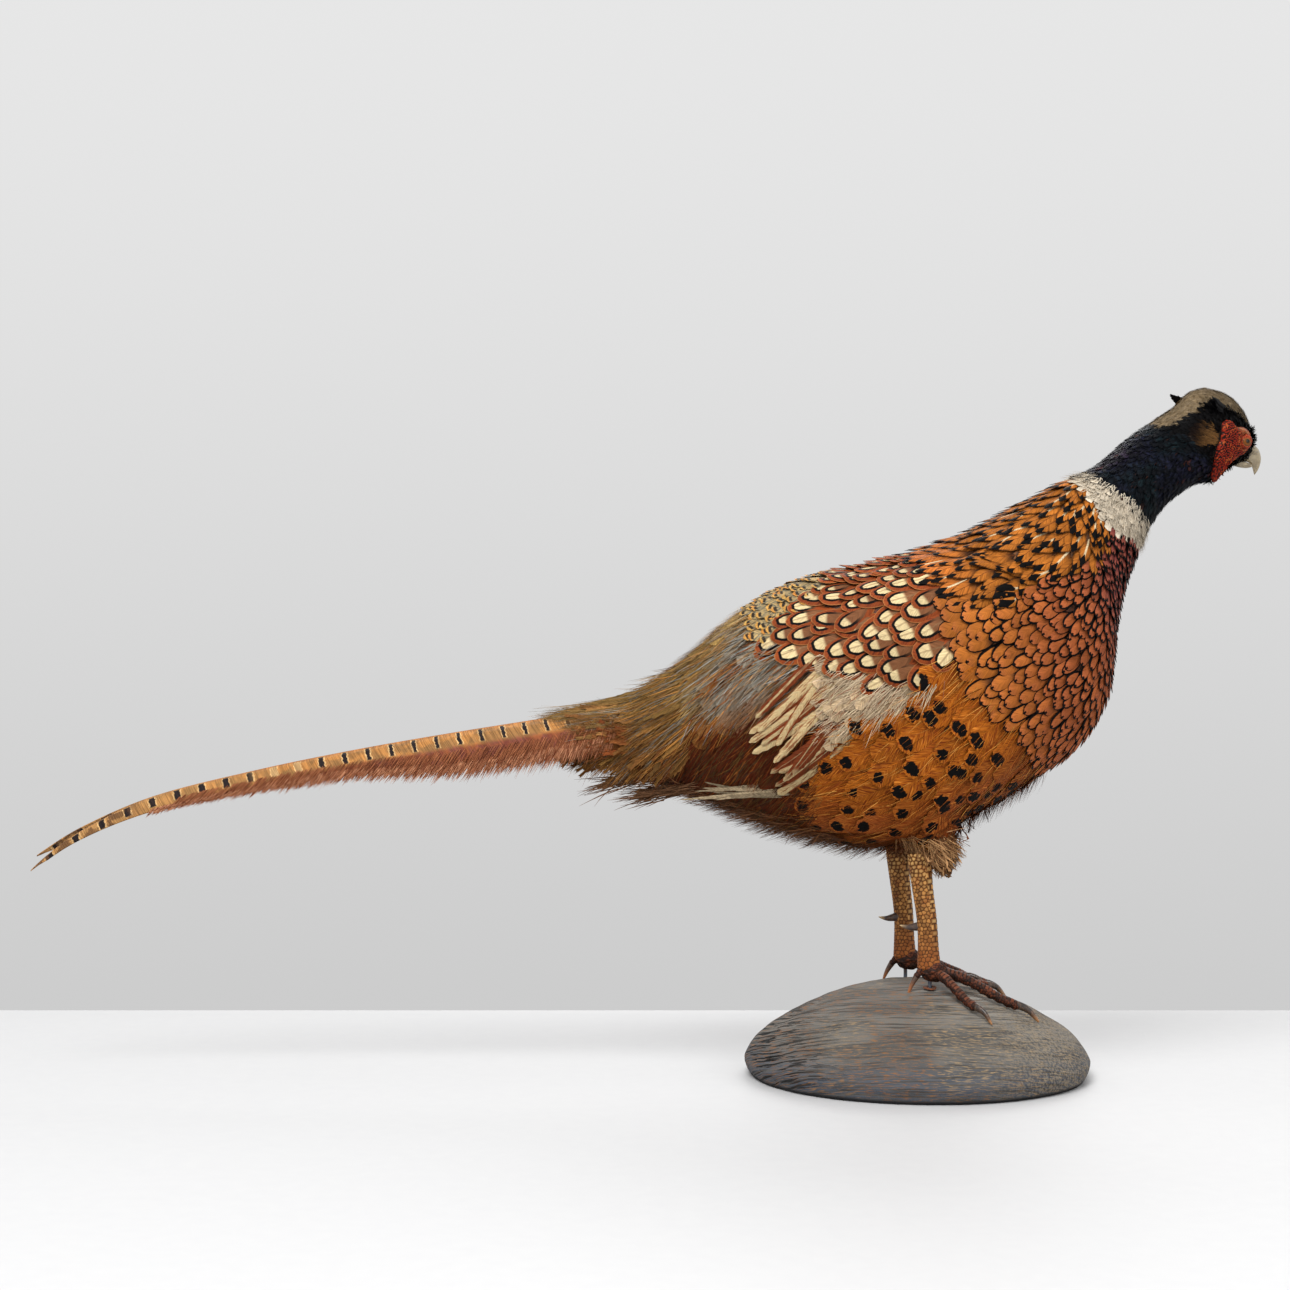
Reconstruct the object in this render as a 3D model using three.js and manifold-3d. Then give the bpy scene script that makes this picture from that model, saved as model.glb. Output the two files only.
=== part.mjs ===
// A still, life-size mounted cock pheasant on a domed wooden base.
// Units are millimetres. +X is the way the bird faces, +Y its left side, +Z up.
// The origin is the centre of the base's flat underside.
import * as THREE from "three";
import { mergeVertices } from "three/addons/utils/BufferGeometryUtils.js";
import Module from "manifold-3d";

const wasm = await Module();
wasm.setup();

// ---------------------------------------------------------------- driving dimensions
const GAP = 0.3; // clearance kept between neighbouring pieces
const DEG = Math.PI / 180;

// The base is turned: half its section, from the middle of the underside out and up to the top.
const BASE_FOOT_RADIUS = 105;
const BASE_RADIUS = 108;
const BASE_RIM_HEIGHT = 12;
const BASE_HEIGHT = 59.5;
const BASE_DOME = [
  [BASE_RADIUS, BASE_RIM_HEIGHT],
  [100, 24],
  [86, 34],
  [70, 43],
  [52, 51],
  [32, 56.8],
  [0, BASE_HEIGHT],
];

// Legs. The right one stands a little ahead of the left one.
const LEG_SPREAD = 27;
const THIGH_BOTTOM = 135;
const THIGH_LEAN = [
  [6, 172],
  [10, 152],
  [12, 142],
  [4, 135],
];
const FOOT_HEIGHT = 70;
const TARSUS_RADIUS = 5.5;
const SPUR_LENGTH = 10;
const WIRE_RADIUS = 1.2;
const WIRE_DEPTH = 20;
const WIRE_TOP_BELOW_FOOT = 7;
const LEGS = [
  { side: "right", out: -1, hock: -1, foot: 5 },
  { side: "left", out: 1, hock: -9, foot: -4 },
];
const TOES = [
  { name: "outer", heading: 48, length: 37, radius: 3.1, claw: 12 },
  { name: "middle", heading: 8, length: 53, radius: 3.5, claw: 13 },
  { name: "inner", heading: -24, length: 41, radius: 3.1, claw: 12 },
];
const HIND_TOE_RISE = 7;
const HIND_TOE = { name: "hind", heading: 165, length: 9, drop: 12, radius: 2.3, claw: 5 };

// Body outline over the plumage. Each station is a cut through the body, from its top line to its
// bottom line: x and z of both ends, the half width, and how far the cut sits to the bird's left.
const STATIONS = [
  { at: "covert tip", top: [-207, 228], bottom: [-207, 208], half: 9, left: 0 },
  { at: "coverts", top: [-174, 244], bottom: [-170, 184], half: 25, left: 0 },
  { at: "lower rump", top: [-143, 268], bottom: [-136, 173], half: 39, left: 0 },
  { at: "rump", top: [-108, 298], bottom: [-103, 157], half: 53, left: 0 },
  { at: "hip", top: [-73, 315], bottom: [-70, 148], half: 64, left: 0 },
  { at: "lower back", top: [-36, 323], bottom: [-36, 141], half: 71, left: 0 },
  { at: "back", top: [2, 333], bottom: [-1, 144], half: 73, left: 0 },
  { at: "shoulder", top: [37, 347], bottom: [34, 161], half: 72, left: 0 },
  { at: "mantle", top: [62, 360], bottom: [71, 182], half: 66, left: 0 },
  { at: "breast", top: [80, 370], bottom: [103, 204], half: 58, left: 0 },
  { at: "crop", top: [91, 376], bottom: [121, 235], half: 50, left: 0 },
  { at: "neck base", top: [98, 378.5], bottom: [125, 273], half: 42, left: 0 },
  { at: "collar", top: [106, 382], bottom: [132, 305.5], half: 35, left: 0 },
  { at: "collar top", top: [115, 387], bottom: [145, 336.5], half: 30, left: 1 },
  { at: "neck", top: [129, 398.5], bottom: [157, 356], half: 27, left: 4 },
  { at: "upper neck", top: [145, 410.5], bottom: [174.5, 369], half: 25, left: 8 },
  { at: "nape", top: [160, 421], bottom: [190, 377], half: 23, left: 12 },
];
const WIDEST = 0.52; // share of the way down a cut at which the body is widest
const FULLNESS = 2.25; // 2 is an ellipse, more is squarer
const COVERT_END = 2.5; // stations at which the long body is parted
const NECK_START = 12.45;
const NAPE_END = STATIONS.length - 1;

// Head: its middle, how it is turned from facing +X, and cuts along its own axis.
const HEAD_AT = new THREE.Vector3(188.5, 14, 400);
const HEAD_YAW = 36;
const HEAD_PITCH = -15;
const HEAD_ROLL = 4;
const HEAD_CUTS = [
  { along: -33, up: 21, down: 10, half: 12 },
  { along: -23, up: 30.5, down: 20, half: 16 },
  { along: -10, up: 34, down: 27, half: 17.3 },
  { along: 3, up: 35, down: 31, half: 17 },
  { along: 16, up: 32.5, down: 16, half: 14.8 },
  { along: 28, up: 25, down: 8.5, half: 11.5 },
  { along: 39, up: 15, down: 5, half: 6.8 },
];
const EYE = { along: 14, up: 3.4, out: 14.2, radius: 4.7, clearance: 0.9 };
const WATTLE = { standoff: 1.2, thickness: 1.6, along: [-9, 27], from: 60, to: 163 };
const EAR_TUFT = { along: -15, up: 18, out: 13, length: 13, rise: 3, radius: 3.6 };
const BILL_ROOT = 30;
const BILL_CURVE = { root: 4.5, middle: [40, 4.3], front: [45, 0.5], tip: [45.6, -6.4] };
const LOWER_BILL = { root: -3.5, tip: [42, -3.4] };
const BILL_HALF = 5.8;

// Wings: their middle line on the side of the body, from shoulder to tip, and thickness.
const WING_LINE = [
  [52, 300],
  [10, 290],
  [-40, 258],
  [-90, 214],
  [-136, 174],
];
const WING_HALF_WIDTH = [22, 40, 40, 27, 5];
const WING_THICKNESS = 5;

// Tail: the ridge of the long feathers from under the coverts to their tips, and their sizes there.
const TAIL_RIDGE = [
  [-186, 232],
  [-228, 225],
  [-291, 215],
  [-354, 204],
  [-417, 191],
  [-480, 175],
  [-527, 155],
  [-556, 137],
];
const TAIL_DROP = [16, 24, 24, 15, 12, 10, 6, 3];
const TAIL_HALF_WIDTH = [24, 23, 19, 15, 11, 8, 5, 2.5];
const TAIL_PARTS = { middle: 2.6, tips: 4.6 };
const TIP_SPLAY = 7;
const SIDE_FEATHERS = [
  { name: "upper", from: [-176, 206], to: [-218, 200], out: 14, half: 6 },
  { name: "lower", from: [-158, 192], to: [-203, 180], out: 20, half: 6 },
  { name: "lowest", from: [-138, 182], to: [-181, 174], out: 26, half: 6 },
];

// ---------------------------------------------------------------- materials
const paint = (color, roughness, metalness = 0) =>
  new THREE.MeshStandardMaterial({ color, roughness, metalness });
const MATERIALS = {
  plumage: paint(0xa65a1e, 0.75),
  neck: paint(0x141a20, 0.5),
  rump: paint(0x8a7a4a, 0.85),
  wing: paint(0x8c5a3c, 0.75),
  tail: paint(0xb08a58, 0.75),
  wattle: paint(0xb8341c, 0.6),
  horn: paint(0xb0a488, 0.4),
  eye: paint(0x7a3c0c, 0.05),
  leg: paint(0x8a6238, 0.6),
  claw: paint(0x4a3626, 0.45),
  down: paint(0x8a6a48, 0.9),
  wire: paint(0x5a5652, 0.5, 0.9),
  wood: paint(0x55585a, 0.8),
};

// ---------------------------------------------------------------- making closed solids
const clone = (points) => points.map((p) => p.clone());

// A closed body through rings of the same number of points, with a fan at each end.
function loft(rings) {
  const sides = rings[0].length;
  const corners = [];
  for (const p of rings.flat()) corners.push(p.x, p.y, p.z);
  const index = [];
  for (let i = 0; i + 1 < rings.length; i++)
    for (let j = 0; j < sides; j++) {
      const [a, b] = [i * sides + j, i * sides + ((j + 1) % sides)];
      index.push(a, b, b + sides, a, b + sides, a + sides);
    }
  for (const [ring, turned] of [[0, true], [rings.length - 1, false]]) {
    const middle = corners.length / 3;
    const sum = rings[ring].reduce((s, p) => s.add(p), new THREE.Vector3());
    corners.push(...sum.divideScalar(sides).toArray());
    for (let j = 0; j < sides; j++) {
      const [a, b] = [ring * sides + j, ring * sides + ((j + 1) % sides)];
      index.push(...(turned ? [middle, b, a] : [middle, a, b]));
    }
  }
  const volume = index.reduce((sum, _, k) => {
    if (k % 3) return sum;
    const [a, b, c] = [0, 1, 2].map((n) =>
      new THREE.Vector3().fromArray(corners, index[k + n] * 3),
    );
    return sum + a.dot(b.cross(c));
  }, 0);
  if (volume < 0) index.reverse();
  const geometry = new THREE.BufferGeometry();
  geometry.setAttribute("position", new THREE.Float32BufferAttribute(corners, 3));
  geometry.setIndex(index);
  return geometry;
}

// A round or oval limb along a path. size(t) gives its radius, or its two radii, at t from 0 to 1.
function limb(path, size, { steps = 8, sides = 8, grow = 0, square = new THREE.Vector3(0, 0, 1) } = {}) {
  const curve = new THREE.CatmullRomCurve3(clone(path), false, "centripetal");
  const rings = [];
  for (let i = 0; i <= steps; i++) {
    const t = i / steps;
    const ahead = curve.getTangent(t);
    const across = new THREE.Vector3().crossVectors(square, ahead).normalize();
    const over = new THREE.Vector3().crossVectors(ahead, across);
    const [wide, tall] = [size(t)].flat().concat(size(t)).slice(0, 2);
    const at = curve.getPoint(t);
    if (i === 0) at.addScaledVector(ahead, -grow);
    if (i === steps) at.addScaledVector(ahead, grow);
    rings.push(
      Array.from({ length: sides }, (_, j) => {
        const a = (2 * Math.PI * j) / sides;
        return at
          .clone()
          .addScaledVector(across, Math.cos(a) * (wide + grow))
          .addScaledVector(over, Math.sin(a) * (tall + grow));
      }),
    );
  }
  return loft(rings);
}

const lerp = THREE.MathUtils.lerp;

// Numbers given at even steps, read smoothly at any t from 0 to 1.
const smooth = (values) => {
  const curve = new THREE.CatmullRomCurve3(values.map((v, i) => new THREE.Vector3(i, v, 0)));
  return (t) => curve.getPoint(t).y;
};

function toManifold(geometry) {
  const bare = geometry.clone();
  for (const name of ["normal", "uv"]) if (bare.getAttribute(name)) bare.deleteAttribute(name);
  const merged = mergeVertices(bare, 1e-3);
  return new wasm.Manifold(
    new wasm.Mesh({
      numProp: 3,
      vertProperties: merged.attributes.position.array,
      triVerts: new Uint32Array(merged.index.array),
    }),
  );
}

function toGeometry(solid) {
  const mesh = solid.getMesh();
  const geometry = new THREE.BufferGeometry();
  geometry.setAttribute("position", new THREE.BufferAttribute(mesh.vertProperties, 3));
  geometry.setIndex(new THREE.BufferAttribute(mesh.triVerts, 1));
  return geometry;
}

// A shape with its neighbours cut away. Only the largest body that is left is kept.
function cutBy(geometry, neighbours) {
  const left = neighbours.reduce(
    (solid, other) => solid.subtract(toManifold(other)),
    toManifold(geometry),
  );
  const bodies = left.decompose().sort((a, b) => b.volume() - a.volume());
  return toGeometry(bodies[0]);
}

const bird = new THREE.Group();
function add(name, material, geometry) {
  const mesh = new THREE.Mesh(geometry, MATERIALS[material]);
  mesh.name = name;
  bird.add(mesh);
  return mesh;
}

// ---------------------------------------------------------------- base
const domeCurve = new THREE.SplineCurve(BASE_DOME.map(([r, z]) => new THREE.Vector2(r, z)));
const DOME_STEPS = 9;
const BASE_SIDES = 36;
const domeProfile = domeCurve.getPoints(DOME_STEPS);

// Height of the dome's surface over a point.
function domeHeight(x, y) {
  const r = Math.hypot(x, y);
  for (let i = 0; i + 1 < domeProfile.length; i++) {
    const [outer, inner] = [domeProfile[i], domeProfile[i + 1]];
    if (r >= inner.x)
      return lerp(inner.y, outer.y, (r - inner.x) / Math.max(outer.x - inner.x, 1e-6));
  }
  return BASE_HEIGHT;
}

function makeBase(holes) {
  const section = [
    new THREE.Vector2(0, 0),
    new THREE.Vector2(BASE_FOOT_RADIUS, 0),
    new THREE.Vector2(BASE_RADIUS - 1, BASE_RIM_HEIGHT * 0.5),
    ...domeProfile,
  ];
  section[section.length - 1].x = 0;
  const turned = new THREE.LatheGeometry(section, BASE_SIDES).rotateX(90 * DEG);
  return cutBy(turned, holes);
}

// ---------------------------------------------------------------- long body: coverts, trunk, neck
const line = (pick) => new THREE.CatmullRomCurve3(STATIONS.map(pick), false, "centripetal");
const topLine = line((s) => new THREE.Vector3(s.top[0], s.left, s.top[1]));
const bottomLine = line((s) => new THREE.Vector3(s.bottom[0], s.left, s.bottom[1]));
const halfWidth = smooth(STATIONS.map((s) => s.half));

// A point of the body's surface: station number and angle from the top, towards the bird's left.
function bodyPoint(station, angle, grow = 0) {
  const t = station / NAPE_END;
  const [top, bottom] = [topLine.getPoint(t), bottomLine.getPoint(t)];
  const down = new THREE.Vector3().subVectors(bottom, top);
  const height = down.length();
  down.normalize();
  const [c, s] = [Math.cos(angle), Math.sin(angle)];
  const round = (Math.abs(c) ** FULLNESS + Math.abs(s) ** FULLNESS) ** (-1 / FULLNESS);
  const reach = (c > 0 ? height * WIDEST : height * (1 - WIDEST)) + grow;
  return top
    .addScaledVector(down, height * WIDEST - c * round * reach)
    .add(new THREE.Vector3(0, s * round * (halfWidth(t) + grow), 0));
}

function bodyLength(from, to, steps, sides, grow = 0) {
  const rings = [];
  for (let i = 0; i <= steps; i++)
    rings.push(
      Array.from({ length: sides }, (_, j) =>
        bodyPoint(lerp(from, to, i / steps), (2 * Math.PI * j) / sides, grow),
      ),
    );
  return loft(rings);
}

// ---------------------------------------------------------------- head
const headTurn = new THREE.Matrix4();
{
  const [yaw, pitch, roll] = [HEAD_YAW, HEAD_PITCH, HEAD_ROLL].map((a) => a * DEG);
  const ahead = new THREE.Vector3(
    Math.cos(yaw) * Math.cos(pitch),
    Math.sin(yaw) * Math.cos(pitch),
    Math.sin(pitch),
  );
  const level = new THREE.Vector3(Math.sin(yaw), -Math.cos(yaw), 0);
  const upright = new THREE.Vector3().crossVectors(level, ahead);
  const right = level.clone().multiplyScalar(Math.cos(roll)).addScaledVector(upright, -Math.sin(roll));
  const up = upright.clone().multiplyScalar(Math.cos(roll)).addScaledVector(level, Math.sin(roll));
  // In the head's own frame x is ahead, y is the bird's left and z is up.
  headTurn.makeBasis(ahead, right.negate(), up).setPosition(HEAD_AT);
}
const onHead = (x, y, z) => new THREE.Vector3(x, y, z).applyMatrix4(headTurn);
const headUp = new THREE.Vector3(0, 0, 1).transformDirection(headTurn);

const cutReader = (key) => smooth(HEAD_CUTS.map((c) => c[key]));
const headCut = {
  along: cutReader("along"),
  up: cutReader("up"),
  down: cutReader("down"),
  half: cutReader("half"),
};

// A point of the head's surface: t from back to front, and angle from the top, towards its left.
function headPoint(t, angle, grow = 0) {
  const [c, s] = [Math.cos(angle), Math.sin(angle)];
  const tall = (c > 0 ? headCut.up(t) : headCut.down(t)) + grow;
  const ends = t <= 0 ? -grow : t >= 1 ? grow : 0;
  return onHead(headCut.along(t) + ends, s * (headCut.half(t) + grow), c * tall);
}

// The share of the head's length at a distance along its axis.
function headShare(along) {
  let [low, high] = [0, 1];
  for (let i = 0; i < 20; i++) {
    const middle = (low + high) / 2;
    if (headCut.along(middle) < along) low = middle;
    else high = middle;
  }
  return low;
}

function headShape(grow = 0, steps = 10, sides = 16) {
  const rings = [];
  for (let i = 0; i <= steps; i++)
    rings.push(
      Array.from({ length: sides }, (_, j) =>
        headPoint(i / steps, (2 * Math.PI * j) / sides, grow),
      ),
    );
  return loft(rings);
}

// A flat-backed patch of bare skin over the cheek, thicker in the middle.
function wattle(out) {
  const [rows, columns] = [4, 5];
  const [back, front] = WATTLE.along.map(headShare);
  const rings = [];
  for (let i = 0; i <= rows; i++) {
    const t = lerp(back, front, i / rows);
    const swell = Math.sin((Math.PI * (i + 0.6)) / (rows + 1.2));
    const [from, to] = [lerp(86, WATTLE.from, swell), lerp(100, WATTLE.to, swell)];
    const inner = [];
    const outer = [];
    for (let j = 0; j <= columns; j++) {
      const angle = out * lerp(from, to, j / columns) * DEG;
      const bulge = Math.sin((Math.PI * (j + 0.5)) / (columns + 1));
      inner.push(headPoint(t, angle, WATTLE.standoff));
      outer.push(headPoint(t, angle, WATTLE.standoff + 0.6 + WATTLE.thickness * swell * bulge));
    }
    rings.push([...inner, ...outer.reverse()]);
  }
  return loft(rings);
}

// The upper bill hooks down over the lower one. Both run back into the head.
function billPiece(upper, grow = 0) {
  const { root, middle, front, tip } = BILL_CURVE;
  const path = upper
    ? [[BILL_ROOT, root], middle, front, tip]
    : [[BILL_ROOT, LOWER_BILL.root], LOWER_BILL.tip];
  const size = upper
    ? (t) => [BILL_HALF * (1 - t ** 2.4) + 0.5, 4.6 * (1 - t ** 3) + 0.7]
    : (t) => [(BILL_HALF - 1.1) * (1 - t ** 2.4) + 0.5, 2.4 * (1 - t ** 2) + 0.4];
  const onAxis = path.map(([x, z]) => onHead(x, 0, z));
  return limb(onAxis, size, { steps: 8, sides: 10, grow, square: headUp });
}

function eyeball(out, grow = 0) {
  const at = onHead(EYE.along, out * EYE.out, EYE.up);
  return new THREE.SphereGeometry(EYE.radius + grow, 14, 8).translate(at.x, at.y, at.z);
}

function earTuft(out, grow = 0) {
  const root = onHead(EAR_TUFT.along, out * EAR_TUFT.out, EAR_TUFT.up);
  const back = EAR_TUFT.along - EAR_TUFT.length;
  const tip = onHead(back, out * (EAR_TUFT.out + 4), EAR_TUFT.up + EAR_TUFT.rise);
  return limb([root, tip], (t) => EAR_TUFT.radius * (1 - 0.8 * t), { steps: 3, grow, square: headUp });
}

// ---------------------------------------------------------------- wings
// The station and angle at which the body's right or left side holds a given x and z.
function onSide(x, z) {
  let [low, high] = [0, NAPE_END];
  for (let i = 0; i < 30; i++) {
    const middle = (low + high) / 2;
    const [top, bottom] = [topLine.getPoint(middle / NAPE_END), bottomLine.getPoint(middle / NAPE_END)];
    const share = (z - top.z) / (bottom.z - top.z);
    if (lerp(top.x, bottom.x, share) < x) low = middle;
    else high = middle;
  }
  const t = low / NAPE_END;
  const [top, bottom] = [topLine.getPoint(t), bottomLine.getPoint(t)];
  const share = THREE.MathUtils.clamp((z - top.z) / (bottom.z - top.z), 0.02, 0.98);
  const c = share < WIDEST ? 1 - share / WIDEST : -(share - WIDEST) / (1 - WIDEST);
  const s = (1 - Math.abs(c) ** FULLNESS) ** (1 / FULLNESS);
  return [low, Math.atan2(s, c)];
}

const wingLine = new THREE.CatmullRomCurve3(WING_LINE.map(([x, z]) => new THREE.Vector3(x, 0, z)));
const wingHalf = smooth(WING_HALF_WIDTH);

function wing(out) {
  const [rows, columns] = [11, 5];
  const rings = [];
  for (let i = 0; i <= rows; i++) {
    const t = i / rows;
    const at = wingLine.getPoint(t);
    const ahead = wingLine.getTangent(t);
    const round = Math.min(1, Math.sqrt((t + 0.05) * 6));
    const inner = [];
    const outer = [];
    for (let j = 0; j <= columns; j++) {
      const across = lerp(-1, 1, j / columns) * wingHalf(t) * round;
      const [station, angle] = onSide(at.x + ahead.z * across, at.z - ahead.x * across);
      const arch = Math.sqrt(Math.max(0, 1 - lerp(-1, 1, j / columns) ** 2));
      const thick = 1.2 + WING_THICKNESS * arch * (1 - 0.6 * t);
      inner.push(bodyPoint(station, out * angle, GAP + 0.9));
      outer.push(bodyPoint(station, out * angle, GAP + 0.9 + thick));
    }
    rings.push([...inner, ...outer.reverse()]);
  }
  return loft(rings);
}

// ---------------------------------------------------------------- tail
const ridge = new THREE.CatmullRomCurve3(TAIL_RIDGE.map(([x, z]) => new THREE.Vector3(x, 0, z)));
const tailDrop = smooth(TAIL_DROP);
const tailHalf = smooth(TAIL_HALF_WIDTH);
const TAIL_END = TAIL_RIDGE.length - 1;

// One cut of the roof-shaped stack of long feathers. side is 0 for the whole roof, or -1 or 1 for a half.
function tailCut(t, side, grow = 0) {
  const top = ridge.getPoint(t);
  const [drop, half] = [tailDrop(t), tailHalf(t)];
  const parting = Math.max(0, t * TAIL_END - TAIL_PARTS.tips) / (TAIL_END - TAIL_PARTS.tips);
  const sideways = side * (GAP + TIP_SPLAY * parting ** 1.5);
  const lowered = side < 0 ? 8 * parting ** 2 : 0;
  const upper = [
    [0, 0],
    [0.45, -0.12],
    [0.85, -0.5],
    [1, -0.92],
  ];
  const under = [
    [0.8, -1],
    [0.35, -0.66],
    [0, -0.5],
  ];
  const profile = [...upper.map(([w, h]) => [w, h, grow]), ...under.map(([w, h]) => [w, h, -grow])];
  const halves = side ? [side] : [1, -1];
  const points = halves.flatMap((out, k) => {
    const turned = profile.map(([w, h, lift]) => [out * w, h, lift]);
    return k ? turned.slice(1, -1).reverse() : turned;
  });
  return points.map(([w, h, lift]) => {
    const z = top.z - lowered + h * drop + lift;
    return new THREE.Vector3(top.x, sideways + w * (half + grow), z);
  });
}

function tailLength(from, to, steps, side = 0, grow = 0) {
  const rings = [];
  for (let i = 0; i <= steps; i++) rings.push(tailCut(lerp(from, to, i / steps) / TAIL_END, side, grow));
  return loft(rings);
}

function sideFeather({ from, to, out, half }, side) {
  const [root, tip] = [from, to].map(([x, z], i) => new THREE.Vector3(x, side * (out - i * 4), z));
  return limb([root, tip], (t) => [half * (1 - 0.55 * t), 1.4 - 0.6 * t], { steps: 3, sides: 6 });
}

// ---------------------------------------------------------------- legs
const hock = (leg) => new THREE.Vector3(leg.hock, leg.out * LEG_SPREAD, THIGH_BOTTOM);
const foot = (leg) => new THREE.Vector3(leg.foot, leg.out * (LEG_SPREAD + 1), FOOT_HEIGHT);

function thigh(leg, grow = 0) {
  const end = hock(leg);
  const path = THIGH_LEAN.map(([ahead, z]) => new THREE.Vector3(end.x + ahead, end.y, z));
  const size = (t) => [lerp(16, 8, t ** 1.5), lerp(21, 8.5, t ** 1.3)];
  return limb(path, size, { steps: 5, sides: 10, grow, square: new THREE.Vector3(1, 0, 0) });
}

function tarsus(leg, grow = 0) {
  const [top, end] = [hock(leg), foot(leg)];
  const path = [top, new THREE.Vector3().lerpVectors(top, end, 0.5), end];
  const swell = (t) => 1 + 0.22 * (1 - t) ** 4 + 0.25 * t ** 6;
  const size = (t) => [TARSUS_RADIUS * 0.8 * swell(t), TARSUS_RADIUS * 1.08 * swell(t)];
  return limb(path, size, { steps: 6, sides: 10, grow, square: new THREE.Vector3(1, 0, 0) });
}

function spur(leg) {
  const at = new THREE.Vector3().lerpVectors(hock(leg), foot(leg), 0.59);
  const back = at.clone().add(new THREE.Vector3(-TARSUS_RADIUS - SPUR_LENGTH, -leg.out * 5, -0.5));
  const middle = new THREE.Vector3().lerpVectors(at, back, 0.6).add(new THREE.Vector3(0, 0, -1.2));
  return limb([at, middle, back], (t) => 3.2 * (1 - t) ** 0.9 + 0.35, { steps: 3, sides: 6 });
}

// A toe bends down from the foot and then follows the dome. t runs past 1 into the claw.
function toePoint(leg, toe, t, lift) {
  const root = foot(leg);
  const turn = leg.out * toe.heading * DEG;
  const x = root.x + Math.cos(turn) * toe.length * t;
  const y = root.y + Math.sin(turn) * toe.length * t;
  if (toe.drop) return new THREE.Vector3(x, y, root.z + HIND_TOE_RISE - toe.drop * t);
  const rest = domeHeight(x, y) + lift;
  const arch = lerp(root.z - 1.5, rest, THREE.MathUtils.smoothstep(t, 0, 0.85));
  return new THREE.Vector3(x, y, Math.max(rest, arch));
}

function toeShape(leg, toe, grow = 0) {
  const path = [0, 0.2, 0.4, 0.6, 0.8, 1].map((t) => toePoint(leg, toe, t, toe.radius + GAP + 0.2));
  const size = (t) => toe.radius * (1 - 0.18 * t);
  return limb(path, size, { steps: 5, sides: 6, grow });
}

function claw(leg, toe) {
  const start = 1 + (toe.radius * 0.2) / toe.length;
  const end = start + toe.claw / toe.length;
  const lifts = [toe.radius + 0.8, toe.radius + 0.6, 1.1];
  const path = [start, (start + end) / 2, end].map((t, i) => toePoint(leg, toe, t, lifts[i]));
  return limb(path, (t) => toe.radius * 0.72 * (1 - t) ** 0.8 + 0.35, { steps: 4, sides: 6 });
}

function wire(leg, grow = 0) {
  const at = foot(leg);
  const bottom = domeHeight(at.x, at.y) - WIRE_DEPTH - grow;
  const height = FOOT_HEIGHT - WIRE_TOP_BELOW_FOOT + grow - bottom;
  return new THREE.CylinderGeometry(WIRE_RADIUS + grow, WIRE_RADIUS + grow, height, 8)
    .rotateX(90 * DEG)
    .translate(at.x, at.y, bottom + height / 2);
}

function washer(leg) {
  const at = foot(leg);
  const [inner, outer, thick] = [WIRE_RADIUS + 0.6, 4.2, 1];
  const ring = [[inner, 0], [outer, 0], [outer, thick], [inner, thick], [inner, 0]];
  return new THREE.LatheGeometry(ring.map(([r, z]) => new THREE.Vector2(r, z)), 16)
    .rotateX(90 * DEG)
    .translate(at.x, at.y, domeHeight(at.x, at.y) + 1);
}

// ---------------------------------------------------------------- putting it together
add("base", "wood", makeBase(LEGS.map((leg) => wire(leg, GAP))));

const trunk = bodyLength(COVERT_END, NECK_START, 21, 24);
const trunkGrown = bodyLength(COVERT_END, NECK_START, 21, 24, GAP);
const neckGrown = bodyLength(NECK_START, NAPE_END, 8, 18, GAP);
const covertsGrown = bodyLength(0, COVERT_END, 7, 18, GAP);
const headGrown = headShape(GAP);
add("trunk", "plumage", trunk);
add("neck", "neck", cutBy(bodyLength(NECK_START + 0.03, NAPE_END, 8, 18), [headGrown]));
add("tail_coverts", "rump", cutBy(bodyLength(0, COVERT_END - 0.012, 7, 18), [
  tailLength(0, TAIL_PARTS.middle, 6, 0, GAP),
]));

const headCutters = [eyeball(1, GAP), eyeball(-1, GAP), billPiece(true, GAP), billPiece(false, GAP)];
add("head", "neck", cutBy(headShape(), headCutters));
add("bill_upper", "horn", billPiece(true));
add("bill_lower", "horn", cutBy(billPiece(false), [billPiece(true, GAP)]));

for (const [side, out] of [["right", -1], ["left", 1]]) {
  add("eye_" + side, "eye", eyeball(out));
  add("wattle_" + side, "wattle", cutBy(wattle(out), [eyeball(out, EYE.clearance), neckGrown, headGrown]));
  add("ear_tuft_" + side, "neck", cutBy(earTuft(out), [headGrown, neckGrown]));
  add("wing_" + side, "wing", cutBy(wing(out), [covertsGrown, trunkGrown]));
}

add("tail_root", "tail", tailLength(0, TAIL_PARTS.middle, 6));
add("tail_middle", "tail", tailLength(TAIL_PARTS.middle + 0.006, TAIL_PARTS.tips, 6));
for (const [side, out] of [["right", -1], ["left", 1]]) {
  add("tail_tip_" + side, "tail", tailLength(TAIL_PARTS.tips + 0.006, TAIL_END, 8, out));
  for (const feather of SIDE_FEATHERS)
    add(`tail_side_${side}_${feather.name}`, "tail", cutBy(sideFeather(feather, out), [covertsGrown]));
}

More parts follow.
